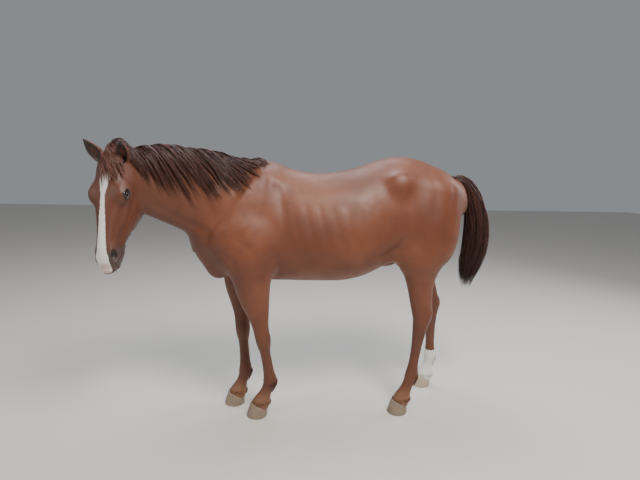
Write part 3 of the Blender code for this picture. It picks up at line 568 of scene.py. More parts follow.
def muscle_marks(base):
    """The grooves and ridges between the muscles, ribs and tendons of both sides."""
    found = []
    for s in (LEFT, RIGHT):
        found += [body_mark(s, line, width, depth, base) for line, width, depth in FLANK_MARKS]
        found += [body_mark(s, line, width, depth, base, neck_middle) for line, width, depth in NECK_MARKS]
        for i in range(RIBS):
            x = FIRST_RIB + RIB_STEP * i
            line = [(x - 0.02, 1.27), (x, 1.17), (x + 0.035, 1.06), (x + 0.07, 0.97)]
            found.append(body_mark(s, line, 0.017, 0.0016, base))
        for joints in (FORE_JOINTS[s], HIND_JOINTS[s]):
            top, low = np.array(joints[2]), np.array(joints[3])
            for inner in (-1, 1):
                line = [top + (low - top) * t + np.array((0.010, inner * 0.030, 0.0)) for t in (0.22, 0.5,
                                                                                                0.80)]
                found.append(Crease(line, 0.0085, 0.0050))
        elbow, knee = np.array(FORE_JOINTS[s][1]), np.array(FORE_JOINTS[s][2])
        for x, depth in ((-0.022, 0.004), (0.034, 0.003)):
            line = [elbow + (knee - elbow) * t + np.array((x, s * (0.085 - 0.045 * t), 0.0)) for t in (0.15,
                                                                                                       0.5,
                                                                                                       0.85)]
            found.append(Crease(line, 0.013, depth))
        stifle, hock = np.array(HIND_JOINTS[s][1]), np.array(HIND_JOINTS[s][2])
        line = [stifle + (hock - stifle) * t + np.array((0.030, s * (0.105 - 0.060 * t), 0.0)) for t in (0.20,
                                                                                                         0.5,
                                                                                                         0.92)]
        found.append(Crease(line, 0.016, 0.006))
    return found


# the same on the face, by (along, out of the forehead) places in the head's axes
FACE_MARKS = (
    ([(0.120, -0.012), (0.150, -0.010), (0.175, -0.010)], 0.020, 0.0035),
    ([(0.235, -0.100), (0.330, -0.103), (0.420, -0.095)], 0.012, 0.0045),
    ([(0.270, -0.045), (0.350, -0.040), (0.430, -0.036)], 0.013, 0.0045),
    ([(0.060, -0.120), (0.100, -0.230), (0.170, -0.270)], 0.016, 0.004),
    ([(0.255, -0.130), (0.320, -0.160), (0.370, -0.165)], 0.010, 0.003),
    ([(0.574, -0.082), (0.548, -0.086), (0.515, -0.091), (0.482, -0.099)], 0.0050, 0.0075),
    ([(0.556, -0.075), (0.525, -0.080), (0.490, -0.090)], 0.007, -0.002),
    ([(0.475, -0.030), (0.500, -0.022), (0.527, -0.030), (0.537, -0.048)], 0.006, -0.0035),
)
# round the eye: (along, outward, up) places from its centre
LID_MARKS = (
    ([(-0.024, 0.010, -0.002), (-0.018, 0.019, 0.014), (0.000, 0.022, 0.0205), (0.017, 0.018, 0.014),
      (0.025, 0.009, 0.002)], 0.0050, -0.0032),
    ([(-0.030, 0.008, 0.010), (-0.020, 0.016, 0.025), (0.002, 0.017, 0.031), (0.022, 0.012, 0.024)], 0.0055,
     0.0026),
    ([(-0.022, 0.010, -0.008), (-0.006, 0.021, -0.017), (0.012, 0.020, -0.015), (0.024, 0.010, -0.005)], 0.0048,
     -0.0022),
)


def head_marks(base):
    """The lids and the fold over them, and the hollows and lips of the face."""
    found = []
    for v in (-1, 1):
        eye = np.array((EYE_CENTRE[0], v * EYE_CENTRE[1], EYE_CENTRE[2]))
        for line, width, depth in LID_MARKS:
            found.append(Crease([on_head(eye[0] + u, eye[1] + v * out, eye[2] + w) for u, out, w in line],
                                width, depth))
        for line, width, depth in FACE_MARKS:
            found.append(head_mark([(u, v, w) for u, w in line], width, depth, base))
    return found


def openings():
    """The hollows between the lids and in the nostrils."""
    found = []
    for v in (-1, 1):
        place = on_head(LIDS_CENTRE[0], v * (LIDS_CENTRE[1] - 0.006), LIDS_CENTRE[2])
        found.append(Ball(place, (0.0215, 0.019, 0.0150), HEAD, blend=0.004, carve=True))
        found.append(Ball(on_head(0.505, v * 0.050, -0.045), (0.025, 0.015, 0.0125), HEAD, blend=0.005,
                          carve=True))
        found.append(Ball(on_head(0.487, v * 0.052, -0.034), (0.016, 0.011, 0.009), HEAD, blend=0.005,
                          carve=True))
    return found


def ear_frame(side):
    """The ear's root, the line to its tip and the way it opens."""
    flip = np.array((1, -side, 1))
    root, tip = (np.array(on_head(*(np.array(place) * flip))) for place in (EAR_ROOT, EAR_TIPS[side]))
    axis = tip - root
    opens = (np.array(EAR_OPENS) * flip + np.array(EAR_TURNS[side])) @ HEAD
    opens -= axis * (opens @ axis) / (axis @ axis)
    opens /= np.linalg.norm(opens)
    return root, axis, opens


def ear_shapes():
    found = []
    for side in (LEFT, RIGHT):
        root, axis, opens = ear_frame(side)
        rows = [(*(root + axis * t - opens * back), wide, deep, deep) for t, wide, deep, back in (
            (-0.10, 0.022, 0.022, 0.002), (0.12, 0.026, 0.023, 0.003), (0.32, 0.034, 0.022, 0.002),
            (0.52, 0.035, 0.019, 0.001),
            (0.70, 0.028, 0.015, 0.000), (0.86, 0.016, 0.0095, -0.001), (0.97, 0.0055, 0.0050, -0.002))]
        found.append(Limb(rows, opens, blend=0.012))
    return found


def ear_cups():
    """The hollow of each ear."""
    found = []
    for side in (LEFT, RIGHT):
        root, axis, opens = ear_frame(side)
        length = np.linalg.norm(axis)
        along = axis / length
        centre = root + axis * 0.50 + opens * 0.018
        found.append(Ball(centre, (length * 0.38, 0.0250, 0.0185), (along, np.cross(along, opens), opens),
                          blend=0.004, carve=True))
    return found


FLESH = ("trunk", "neck", "head", "ear_left", "ear_right", "forearm_left", "forearm_right", "cannon_fore_left",
         "cannon_fore_right", "gaskin_left", "gaskin_right", "cannon_hind_left", "cannon_hind_right")
SKIN_VOXEL = 0.0090
base_shapes = flesh_shapes() + [Ball((-0.655, -0.035, 1.085), (0.085, 0.105, 0.115), blend=0.09)]
skin_shapes = base_shapes + ear_shapes() + muscle_marks(base_shapes) + head_marks(base_shapes) + openings() + ear_cups()
rough_shapes = base_shapes + ear_shapes()


def head_place(points):
    """Places in the head's own axes, from the poll."""
    return (points - np.array(POLL)) @ HEAD.T


def settle_skin(obj, shapes, rounds, even):
    """Moves the skin onto the blended form, less the coat's depth; the first rounds even the mesh out as well."""
    mesh = bmesh.new()
    mesh.from_mesh(obj.data)
    for lap in range(rounds):
        if lap < even:
            bmesh.ops.smooth_vert(mesh, verts=mesh.verts, factor=0.5, use_axis_x=True, use_axis_y=True,
                                  use_axis_z=True)
        mesh.normal_update()
        where = np.array([v.co for v in mesh.verts])
        normals = np.array([v.normal for v in mesh.verts])
        step = np.clip(body_distance(where, shapes) + COAT_DEPTH, -0.010, 0.010)
        where -= normals * step[:, None]
        for vert, spot in zip(mesh.verts, where):
            vert.co = spot
    mesh.to_mesh(obj.data)
    mesh.free()


skin = rough_object("skin", rough_shapes)
remesh(skin, SKIN_VOXEL)
drop_inner_shells(skin)
settle_skin(skin, rough_shapes, 7, 4)
remesh(skin, SKIN_VOXEL)
drop_inner_shells(skin)
settle_skin(skin, rough_shapes, 3, 1)

# the head gets four times the faces of the body, and the hooves' tops a clean edge
bm = bmesh.new()
bm.from_mesh(skin.data)
places = head_place(np.array([v.co for v in bm.verts]))
fine = (places[:, 0] > -0.075) & (places[:, 0] < 0.62) & (places[:, 2] > -0.20) & (np.abs(places[:, 1]) < 0.16)
bm.verts.ensure_lookup_table()
edges = [e for e in bm.edges if fine[e.verts[0].index] and fine[e.verts[1].index]]
bmesh.ops.subdivide_edges(bm, edges=edges, cuts=1, use_grid_fill=True)
bmesh.ops.triangulate(bm, faces=[f for f in bm.faces if len(f.verts) > 4])
bm.to_mesh(skin.data)
bm.free()
settle_skin(skin, skin_shapes, 6, 2)

# it stops at the coronet, just over each horn wall
CORONET_LENGTH, HOOF_TOE, HOOF_HEEL = 0.106, 0.086, 0.044
HOOVES = {
    ("fore", LEFT): ((-0.362, -0.118), 8),
    ("fore", RIGHT): ((-0.500, 0.048), -4),
    ("hind", LEFT): ((0.498, -0.152), 10),
    ("hind", RIGHT): ((0.776, 0.198), -8),
}
bm = bmesh.new()
bm.from_mesh(skin.data)
for (x, y), toe_turn in HOOVES.values():
    toe = Matrix.Rotation(math.radians(toe_turn), 3, "Z") @ FORWARD
    rise = (toe * CORONET_LENGTH + UP * (HOOF_TOE - HOOF_HEEL)).normalized()
    normal = rise.cross(UP.cross(toe)).normalized()
    normal = normal if normal.z < 0 else -normal
    middle = Vector((x, y, (HOOF_TOE + HOOF_HEEL) / 2 - 0.004)) - toe * 0.004
    near = [v for v in bm.verts if (v.co.xy - middle.xy).length < 0.12 and v.co.z < 0.16]
    near_set = set(near)
    faces = [f for f in bm.faces if all(v in near_set for v in f.verts)]
    rim = {e for f in faces for e in f.edges}
    cut = bmesh.ops.bisect_plane(bm, geom=near + faces + list(rim), plane_co=middle, plane_no=normal,
                                 clear_outer=True)
    edge = [g for g in cut["geom_cut"] if isinstance(g, bmesh.types.BMEdge)]
    bmesh.ops.edgeloop_fill(bm, edges=edge)
bmesh.ops.recalc_face_normals(bm, faces=bm.faces)
bm.to_mesh(skin.data)
bm.free()


def signed_marks(points):
    """How far each point lies inside the white, the grey, the pink and the dark parts of the coat, in metres. The dark
    is bare skin at the eyes, and partly painted shade in the nostrils and ear hollows.
    """
    u, v, w = head_place(points).T
    on_face = np.minimum(w + 0.060, 0.05)
    middle = np.interp(u, BLAZE_AT, BLAZE_MIDDLE)
    half = np.interp(u, BLAZE_AT, BLAZE_HALF)
    white = np.minimum.reduce([half - np.abs(v - middle), on_face, (u - 0.105) * 0.7])
    sock = np.where((points[:, 0] > 0.70) & (points[:, 1] > 0.08), 0.262 - points[:, 2], -1.0)
    head_near = (u > -0.1) & (u < 0.65) & (np.abs(v) < 0.17) & (w > -0.35) & (w < 0.12)
    white = np.where(head_near, white, -1.0)
    grey = np.where(head_near, (u - 0.470) + 0.35 * (-w - 0.05), -1.0)
    pink = np.where(head_near, np.minimum(u - 0.548, 0.026 - np.abs(v)), -1.0)
    # dark skin at the lids; in the nostrils and the hollows of the ears this dark is partly painted shade
    lids = np.full(len(points), -1.0)
    for side in (-1, 1):
        gap = np.sqrt(((u - EYE_CENTRE[0]) / 1.25)**2 + (v - side * 0.098)**2 + (w - EYE_CENTRE[2])**2)
        lids = np.maximum(lids, 0.0245 - gap)
        nose = np.sqrt((u - 0.503)**2 + (v - side * 0.046)**2 + (w + 0.042)**2)
        lids = np.maximum(lids, 0.0190 - nose)
    # the hollow of each ear painted dark: partly its skin, partly painted shade
    for side in (LEFT, RIGHT):
        root, axis, opens = ear_frame(side)
        along = (points - root) @ axis / (axis @ axis)
        off = points - root - along[:, None] * axis
        out, wide = off @ opens, np.linalg.norm(off - (off @ opens)[:, None] * opens, axis=1)
        inside = np.minimum.reduce([out - 0.000, 0.0225 * np.sin(np.pi * np.clip(along, 0, 1)) - wide + 0.003,
                                    0.03 * (along - 0.05)])
        lids = np.maximum(lids, np.where((along > 0) & (along < 1.05) & (np.linalg.norm(off, axis=1) < 0.05),
                                         inside, -1.0))
    return {"white": np.maximum(white, sock), "grey": grey, "pink": pink, "dark": lids}


BLAZE_AT = (0.10, 0.14, 0.18, 0.22, 0.28, 0.34, 0.42, 0.48, 0.52, 0.57)
BLAZE_MIDDLE = (0.004, 0.004, 0.001, -0.004, -0.004, -0.003, -0.002, -0.002, -0.002, -0.002)
BLAZE_HALF = (0.018, 0.026, 0.020, 0.011, 0.013, 0.018, 0.022, 0.026, 0.034, 0.034)


def mark_skin(obj, points):
    for name, values in signed_marks(points).items():
        attribute = obj.data.attributes.new(name, "FLOAT", "POINT")
        attribute.data.foreach_set("value", values.astype(np.float32))


def points_of(obj):
    flat = np.empty(len(obj.data.vertices) * 3, np.float32)
    obj.data.vertices.foreach_get("co", flat)
    return flat.reshape(-1, 3).astype(float)


class Nodes:
    """A small hand for wiring a material's nodes."""

    def __init__(self, name):
        self.material = bpy.data.materials.new(name)
        self.material.use_nodes = True
        self.tree = self.material.node_tree
        self.shader = self.tree.nodes["Principled BSDF"]

    def add(self, kind, settings=(), **inputs):
        node = self.tree.nodes.new(kind)
        for key, value in dict(settings).items():
            setattr(node, key, value)
        for key, value in inputs.items():
            socket = node.inputs[int(key[1:])] if key[0] == "_" and key[1:].isdigit() else node.inputs[key.replace("_", " ")]
            if isinstance(value, bpy.types.NodeSocket):
                self.tree.links.new(value, socket)
            else:
                socket.default_value = value
        return node

    def mix(self, share, one, two, way="MIX"):
        node = self.tree.nodes.new("ShaderNodeMix")
        node.data_type, node.blend_type = "RGBA", way
        for socket, value in ((node.inputs[0], share), (node.inputs[6], one), (node.inputs[7], two)):
            if isinstance(value, bpy.types.NodeSocket):
                self.tree.links.new(value, socket)
            elif isinstance(value, (int, float)):
                socket.default_value = value
            else:
                socket.default_value = (*value, 1.0)
        return node.outputs[2]

    def math(self, way, one, two=0.0, three=0.0):
        node = self.add("ShaderNodeMath", {"operation": way}, _0=one, _1=two, _2=three)
        return node.outputs[0]

    def span(self, value, low, high, to_low=0.0, to_high=1.0):
        settings = {"interpolation_type": "SMOOTHSTEP"}
        return self.add("ShaderNodeMapRange", settings, _0=value, _1=low, _2=high, _3=to_low,
                        _4=to_high).outputs[0]

    def noise(self, place, scale, detail=3.0):
        return self.add("ShaderNodeTexNoise", {}, Vector=place, Scale=scale, Detail=detail).outputs[0]


CHESTNUT, BRIGHT_CHESTNUT, DARK_PATCH = (0.110, 0.027, 0.010), (0.170, 0.047, 0.017), (0.068, 0.017, 0.008)
# the neck and head colour is partly the coat's own darker brown and partly painted shade
NECK_BROWN_AND_SHADE, LEG_BROWN, DUST = (0.066, 0.018, 0.009), (0.065, 0.018, 0.009), (0.230, 0.110, 0.055)
HAIR_LIGHT, WHITE_SHADE, WHITE_HAIR = (0.230, 0.078, 0.032), (0.62, 0.58, 0.54), (0.86, 0.83, 0.79)
# the last colour is dark skin, and painted shade in the nostrils and ear hollows
MUZZLE_GREY, PINK_SKIN, DARK_SKIN_AND_SHADE = (0.060, 0.042, 0.038), (0.52, 0.30, 0.25), (0.016, 0.011, 0.010)
LEG_TOP, LEG_LOW, DUST_TOP, DUST_LOW = 0.78, 0.42, 0.20, 0.09      # heights over which the colour changes
NECK_FROM, NECK_FULL = -0.42, -0.78


def coat_material():
    """Short glossy chestnut hair: warm red brown, darker on the legs, darker on the neck and face partly by painted
    shade, with white, grey and pink skin marks and dark skin that holds painted shade in the nostrils and ears.
    """
    n = Nodes("chestnut coat")
    place = n.add("ShaderNodeTexCoord").outputs["Object"]
    split = n.add("ShaderNodeSeparateXYZ", {}, _0=place)
    height = split.outputs[2]
    broad, patch, fine = n.noise(place, 2.6, 2.0), n.noise(place, 13.0, 4.0), n.noise(place, 230.0, 2.0)
    combed = n.add("ShaderNodeMapping", {}, Vector=place)
    combed.inputs["Scale"].default_value = (70.0, 230.0, 190.0)
    hairs = n.noise(combed.outputs[0], 3.2, 3.0)
    body = n.mix(n.span(broad, 0.35, 0.65), CHESTNUT, BRIGHT_CHESTNUT)
    body = n.mix(n.math("MULTIPLY", n.span(patch, 0.45, 0.75), 0.35), body, DARK_PATCH)
    # darkens the neck and head: partly the coat's own tone, partly painted shade
    neck = n.span(split.outputs[0], NECK_FROM, NECK_FULL)
    body = n.mix(n.math("MULTIPLY", neck, 0.60), body, NECK_BROWN_AND_SHADE)
    legs = n.span(height, LEG_TOP, LEG_LOW)
    body = n.mix(n.math("MULTIPLY", legs, 0.55), body, LEG_BROWN)
    dusty = n.span(height, DUST_TOP, DUST_LOW)
    body = n.mix(n.math("MULTIPLY", dusty, 0.75), body, DUST)
    body = n.mix(n.span(hairs, 0.35, 0.80, 0.0, 0.40), body, HAIR_LIGHT)
    ragged = n.math("MULTIPLY", n.math("SUBTRACT", n.noise(place, 120.0, 3.0), 0.5), 0.010)
    masks = {}
    for name, soft in (("grey", 0.020), ("pink", 0.008), ("dark", 0.0035), ("white", 0.0018)):
        value = n.add("ShaderNodeAttribute", {"attribute_name": name}).outputs["Fac"]
        masks[name] = n.span(n.math("ADD", value, ragged), -soft, soft)
    body = n.mix(n.math("MULTIPLY", masks["grey"], 0.80), body, MUZZLE_GREY)
    body = n.mix(masks["white"], body, n.mix(hairs, WHITE_SHADE, WHITE_HAIR))
    body = n.mix(n.math("MULTIPLY", masks["pink"], 0.60), body, PINK_SKIN)
    # dark skin, with painted shade in the nostrils and ear hollows
    body = n.mix(n.math("MULTIPLY", masks["dark"], 0.92), body, DARK_SKIN_AND_SHADE)
    shader = n.shader
    n.tree.links.new(body, shader.inputs["Base Color"])
    rough = n.span(patch, 0.2, 0.8, 0.42, 0.58)
    n.tree.links.new(rough, shader.inputs["Roughness"])
    shader.inputs["Sheen Weight"].default_value = 0.06
    shader.inputs["Sheen Roughness"].default_value = 0.35
    shader.inputs["Specular IOR Level"].default_value = 0.55
    relief = n.math("ADD", n.math("MULTIPLY", hairs, 0.7), n.math("MULTIPLY", fine, 0.3))
    bump = n.add("ShaderNodeBump", {}, Strength=0.55, Distance=0.0016, Height=relief)
    n.tree.links.new(bump.outputs[0], shader.inputs["Normal"])
    return n.material


mark_skin(skin, points_of(skin))
skin.data.transform(Matrix.Translation(-MIDDLE))
skin.data.materials.clear()
coat = coat_material()
skin.data.materials.append(coat)
skin.data.shade_smooth()
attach(skin, "root")
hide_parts(*FLESH)

# ---------------------------------------------------------------- mane
# Long coarse hair rooted along the crest, thrown over to the left and swept back in locks towards the withers.
MANE_FROM, MANE_TO = Vector((-1.045, -0.290, 1.450)), Vector((-0.360, 0.0, 1.300))
HAIR_SIDES = 3


def unit(vectors):
    return vectors / np.maximum(np.linalg.norm(vectors, axis=-1), 1e-9)[..., None]


def rows_at(share, run, rows):
    """The rows at that share of their run."""
    return np.stack([np.interp(share, run, column) for column in rows.T], axis=-1)


def form_and_normal(points, shapes):
    """How far each point lies outside the blended shapes, and the way out of them."""
    reach = 0.002
    here = body_distance(points, shapes)
    slope = np.stack([body_distance(points + step, shapes) - here for step in np.eye(3) * reach], axis=1)
    return here, unit(slope)


def comb(roots, start, pull, length, lift, shapes, steps):
    """Guide lines that leave their roots along `start`, turn to `pull` and lie on the skin `lift` above it."""
    place, way = roots.copy(), start.copy()
    lines = [place.copy()]
    for k in range(steps):
        way = unit(way * 0.60 + pull * 0.40)
        place = place + way * (length / steps)[:, None]
        far, normal = form_and_normal(place, shapes)
        want = lift * min(1.0, (k + 1) / 3)
        place += normal * np.where(far < want, want - far, (want - far) * 0.45)[:, None]
        way -= normal * ((way * normal).sum(1))[:, None] * 0.8
        lines.append(place.copy())
    return np.stack(lines, axis=1)


def spread(lines, each, width, closing, rng):
    """Each guide line as a lock of `each` hairs that draw together towards the tip."""
    count, steps = lines.shape[:2]
    share = np.linspace(0, 1, steps)[None, None, :, None]
    along = unit(np.gradient(lines, axis=1))
    side = unit(np.cross(along, np.array((0.13, 0.55, 0.83))))
    other = np.cross(along, side)
    angle, ring = rng.uniform(0, 2 * np.pi, (count, each)), np.sqrt(rng.uniform(0, 1, (count, each)))
    wave = rng.uniform(0, 6.28, (count, each, 1, 1))
    one = (ring * np.cos(angle))[:, :, None, None] + 0.22 * np.sin(5.0 * share + wave)
    two = (ring * np.sin(angle))[:, :, None, None] * 0.6 + 0.16 * np.cos(6.0 * share + wave)
    near = 1 - closing * share**1.4
    wide = width[:, None, None, None] * near
    hairs = lines[:, None] + side[:, None] * one * wide + other[:, None] * two * wide
    cutoff = rng.uniform(0.78, 1.0, (count, each, 1, 1))
    keep = np.clip(share * cutoff * (steps - 1), 0, steps - 1.001)
    low = np.floor(keep).astype(int)
    part = keep - low
    picked = np.take_along_axis(hairs, np.broadcast_to(low, hairs.shape[:3] + (1,)).repeat(3, axis=3), axis=2)
    after = np.take_along_axis(hairs, np.broadcast_to(low + 1, hairs.shape[:3] + (1,)).repeat(3, axis=3),
                               axis=2)
    return (picked * (1 - part) + after * part).reshape(count * each, steps, 3)


def hair_object(name, hairs, thick, patches, rng, material, nodes=()):
    """Tapered three-sided hairs as one mesh, each with its own small patch on the OFBake map."""
    count, steps = hairs.shape[:2]
    along = unit(np.gradient(hairs, axis=1))
    side = unit(np.cross(along, rng.normal(size=(count, 1, 3))))
    other = np.cross(along, side)
    share = np.linspace(0, 1, steps)
    taper = np.minimum(1.0, 0.55 + 3.0 * share) * (1 - share**2.2) + 0.10
    turns = 2 * np.pi * np.arange(HAIR_SIDES) / HAIR_SIDES
    size = (thick[:, None] * taper[None, :])[:, :, None, None]
    rings = hairs[:, :, None] + size * (side[:, :, None] * np.cos(turns)[None, None, :, None]
                                        + other[:, :, None] * np.sin(turns)[None, None, :, None])
    verts = rings.reshape(-1, 3) - np.array(MIDDLE)
    base = (np.arange(count) * steps * HAIR_SIDES)[:, None, None]
    row = (np.arange(steps - 1) * HAIR_SIDES)[None, :, None]
    column = np.arange(HAIR_SIDES)[None, None, :]
    after = (column + 1) % HAIR_SIDES
    quads = np.stack([base + row + column, base + row + after, base + row + HAIR_SIDES + after,
                      base + row + HAIR_SIDES + column], axis=-1).reshape(-1, 4)
    last = (steps - 1) * HAIR_SIDES
    caps = np.concatenate([base[:, 0] + np.array([[2, 1, 0]]), base[:, 0] + last + np.array([[0, 1, 2]])])
    mesh = bpy.data.meshes.new(name)
    mesh.vertices.add(len(verts))
    mesh.vertices.foreach_set("co", verts.astype(np.float32).ravel())
    loops = np.concatenate([quads.ravel(), caps.ravel()])
    mesh.loops.add(len(loops))
    mesh.loops.foreach_set("vertex_index", loops.astype(np.int32))
    starts = np.concatenate([np.arange(len(quads)) * 4, len(quads) * 4 + np.arange(len(caps)) * 3])
    mesh.polygons.add(len(starts))
    mesh.polygons.foreach_set("loop_start", starts.astype(np.int32))
    mesh.update(calc_edges=True)
    mesh.validate()
    shade = np.repeat(rng.uniform(0, 1, count), steps * HAIR_SIDES)
    run = np.tile(np.repeat(share, HAIR_SIDES), count)
    for key, values in (("shade", shade), ("run", run)):
        mesh.attributes.new(key, "FLOAT", "POINT").data.foreach_set("value", values.astype(np.float32))
    corner_of = np.empty(len(mesh.loops), np.int32)
    mesh.loops.foreach_get("vertex_index", corner_of)
    own = corner_of // (steps * HAIR_SIDES)
    patch = patches[own] + 0.003 * np.stack([(corner_of % HAIR_SIDES) / HAIR_SIDES, run[corner_of]], axis=1)
    layer = mesh.uv_layers.new(name="OFBake")
    layer.data.foreach_set("uv", patch.astype(np.float32).ravel())
    mesh.materials.append(material)
    mesh.shade_smooth()
    obj = linked(name, mesh)
    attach(obj, "root")
    if nodes:
        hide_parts(*nodes)
    return obj


def hair_material(name, dark, light, tip, rough):
    n = Nodes(name)
    shade = n.add("ShaderNodeAttribute", {"attribute_name": "shade"}).outputs["Fac"]
    run = n.add("ShaderNodeAttribute", {"attribute_name": "run"}).outputs["Fac"]
    place = n.add("ShaderNodeTexCoord").outputs["Object"]
    colour = n.mix(n.span(shade, 0.05, 0.95), dark, light)
    colour = n.mix(n.math("MULTIPLY", n.span(run, 0.35, 1.0), 0.7), colour, tip)
    colour = n.mix(n.math("MULTIPLY", n.span(n.noise(place, 18.0), 0.5, 0.8), 0.45), colour, dark)
    n.tree.links.new(colour, n.shader.inputs["Base Color"])
    n.tree.links.new(n.span(shade, 0.0, 1.0, rough - 0.06, rough + 0.08), n.shader.inputs["Roughness"])
    n.shader.inputs["Specular IOR Level"].default_value = 0.55
    return n.material


mane_hair = hair_material("mane hair", (0.030, 0.012, 0.010), (0.090, 0.031, 0.021), (0.115, 0.044, 0.030),
                          0.42)
rng = np.random.default_rng(15)
path = smooth_rows([(-1.082, -0.340, 1.475), (*MANE_FROM,), (-0.830, -0.175, 1.380), (-0.655, -0.060, 1.330),
                    (*MANE_TO,)], 8)
run_of = np.linspace(0, 1, len(path))


def crest_spot(share, angle):
    """A place on the skin of the crest, that many radians over to the left, with the ways along the crest and left."""
    spot = rows_at(share, run_of, path)
    ahead_spot, behind_spot = np.minimum(share + 0.05, 1), np.maximum(share - 0.05, 0)
    back = unit(rows_at(ahead_spot, run_of, path) - rows_at(behind_spot, run_of, path))
    left = unit(-np.cross(np.array(UP), back))
    way = np.array(UP) * np.cos(angle)[:, None] + left * np.sin(angle)[:, None]
    return spot + way * skin_reach(spot, way, base_shapes, 0.002)[:, None], way, back, left


LOCKS, HAIRS_EACH = 250, 10
# by share of the crest from the poll: the hair's length, how far back it sweeps and how far it stands off
LENGTHS = ((0, 0.10, 0.25, 0.40, 0.68, 0.82, 0.93, 1.0), (0.09, 0.15, 0.24, 0.36, 0.37, 0.27, 0.14, 0.06))
SWEEPS = ((0, 0.18, 0.40, 1.0), (0.10, 0.25, 0.80, 1.05))
LIFTS = ((0, 0.3, 0.8, 1.0), (0.6, 1.0, 1.0, 0.4))
share = (np.arange(LOCKS) + rng.uniform(0.0, 1.0, LOCKS)) / LOCKS
angle = np.radians(rng.uniform(-13, 12, LOCKS))
roots, outward, back, left = crest_spot(share, angle)
length = np.interp(share, *LENGTHS) * rng.uniform(0.80, 1.12, LOCKS)
sweep = np.interp(share, *SWEEPS) * rng.uniform(0.7, 1.3, LOCKS)
pull = unit(np.array((0.0, 0.0, -1.0)) + back * sweep[:, None] + left * 0.35)
lift = rng.uniform(0.003, 0.013, LOCKS) * np.interp(share, *LIFTS)
lines = comb(roots, left * 0.85 + outward * 0.35 + back * 0.2, pull, length, lift, base_shapes, 12)
hairs = spread(lines, HAIRS_EACH, rng.uniform(0.008, 0.015, LOCKS), 0.70, rng)
patches = np.repeat(np.stack([0.02 + 0.9 * share, 0.55 + angle], axis=1), HAIRS_EACH, axis=0)
patches += rng.uniform(0, 0.02, patches.shape)
hair_object("mane_locks", hairs, rng.uniform(0.0010, 0.0021, len(hairs)), patches, rng, mane_hair,
            ("mane",))

# ---------------------------------------------------------------- forelock
# A shorter tuft of the same hair from between the ears, swept down the forehead to the left.
LOCKS, HAIRS_EACH = 52, 15
rng = np.random.default_rng(7)
across_share = rng.uniform(-1, 1, LOCKS)
roots = np.array([on_head(rng.uniform(-0.045, 0.030), 0.026 * t, -0.060) for t in across_share])
out_way = unit(np.tile(HEAD[2] - 0.25 * HEAD[0], (LOCKS, 1)))
roots = roots + out_way * skin_reach(roots, out_way, base_shapes, 0.002)[:, None]
pull = unit(HEAD[0] + HEAD[1] * rng.uniform(0.00, 1.00, LOCKS)[:, None])
lines = comb(roots, out_way * 0.5 + HEAD[0] * 0.8, pull, rng.uniform(0.11, 0.205, LOCKS),
             rng.uniform(0.002, 0.009, LOCKS), base_shapes, 10)
hairs = spread(lines, HAIRS_EACH, rng.uniform(0.006, 0.011, LOCKS), 0.65, rng)
patches = np.repeat(np.stack([0.3 + 0.3 * across_share, rng.uniform(0.2, 0.8, LOCKS)], axis=1), HAIRS_EACH,
                    axis=0)
fore_hair = hair_material("forelock hair", (0.060, 0.020, 0.013), (0.170, 0.058, 0.032), (0.200, 0.080, 0.050),
                          0.44)
hair_object("forelock_locks", hairs, rng.uniform(0.0008, 0.0016, len(hairs)), patches, rng, fore_hair,
            ("forelock",))

# ---------------------------------------------------------------- tail
# A full tail: hair rooted all along the dock, hanging in one heavy fall that narrows to the tips.
# centre, half-width and half-depth down the tail
TAIL = (
    (0.780, 0.000, 1.430, 0.022, 0.020),
    (0.840, 0.000, 1.440, 0.026, 0.024),
    (0.890, 0.002, 1.425, 0.034, 0.030),
    (0.935, 0.004, 1.370, 0.046, 0.040),
    (0.968, 0.006, 1.290, 0.060, 0.050),
    (0.990, 0.008, 1.190, 0.074, 0.064),
    (1.000, 0.010, 1.080, 0.082, 0.074),
    (0.992, 0.010, 0.980, 0.080, 0.076),
    (0.970, 0.008, 0.890, 0.068, 0.074),
    (0.955, 0.006, 0.810, 0.046, 0.052),
    (0.950, 0.004, 0.735, 0.020, 0.024),
)


tail_limb = Limb([(x, y, z, wide, deep, deep) for x, y, z, wide, deep in TAIL], (1.0, 0.0, 0.0), steps=4)
tail_run = np.linspace(0, 1, len(tail_limb.rows))
tail_hair = hair_material("tail hair", (0.022, 0.010, 0.009), (0.090, 0.030, 0.020), (0.040, 0.018, 0.014),
                          0.44)


def tail_spot(share, angle, ring):
    """A place inside the tail's fall at that share of its length."""
    row, side, front = (rows_at(share, tail_run, rows) for rows in (tail_limb.rows, tail_limb.side,
                                                                    tail_limb.front))
    return (row[..., :3] + side * (row[..., 3] * ring * np.cos(angle))[..., None]
            + front * (row[..., 4] * ring * np.sin(angle))[..., None])


for index, seed in enumerate((3, 4)):
    rng = np.random.default_rng(seed)
    LOCKS, HAIRS_EACH, STEPS = 118, 15, 17
    first, last = rng.uniform(0.0, 0.34, LOCKS), rng.uniform(0.80, 1.0, LOCKS)
    first[:20] = 0.0
    angle = rng.uniform(0, 2 * np.pi, LOCKS)
    ring = rng.uniform(0.55, 0.97, LOCKS) if index == 0 else rng.uniform(0.10, 0.90, LOCKS)
    share = first[:, None] + (last - first)[:, None] * np.linspace(0, 1, STEPS)[None, :]
    bend = angle[:, None] + 0.5 * np.sin(3.0 * share + rng.uniform(0, 6.28, LOCKS)[:, None])
    grown = np.clip(0.35 + 2.4 * (share - first[:, None]), 0, 1)
    lines = tail_spot(share, bend, ring[:, None] * grown)
    hairs = spread(lines, HAIRS_EACH, rng.uniform(0.009, 0.016, LOCKS), 0.45, rng)
    patches = np.repeat(np.stack([angle / 7.0, 0.05 + 0.9 * first], axis=1), HAIRS_EACH, axis=0)
    patches += rng.uniform(0, 0.03, patches.shape)
    hair_object(("tail_outer_locks", "tail_inner_locks")[index], hairs, rng.uniform(0.0012, 0.0024, len(hairs)),
                patches, rng,
                tail_hair, ("tail",) if index == 0 else ())

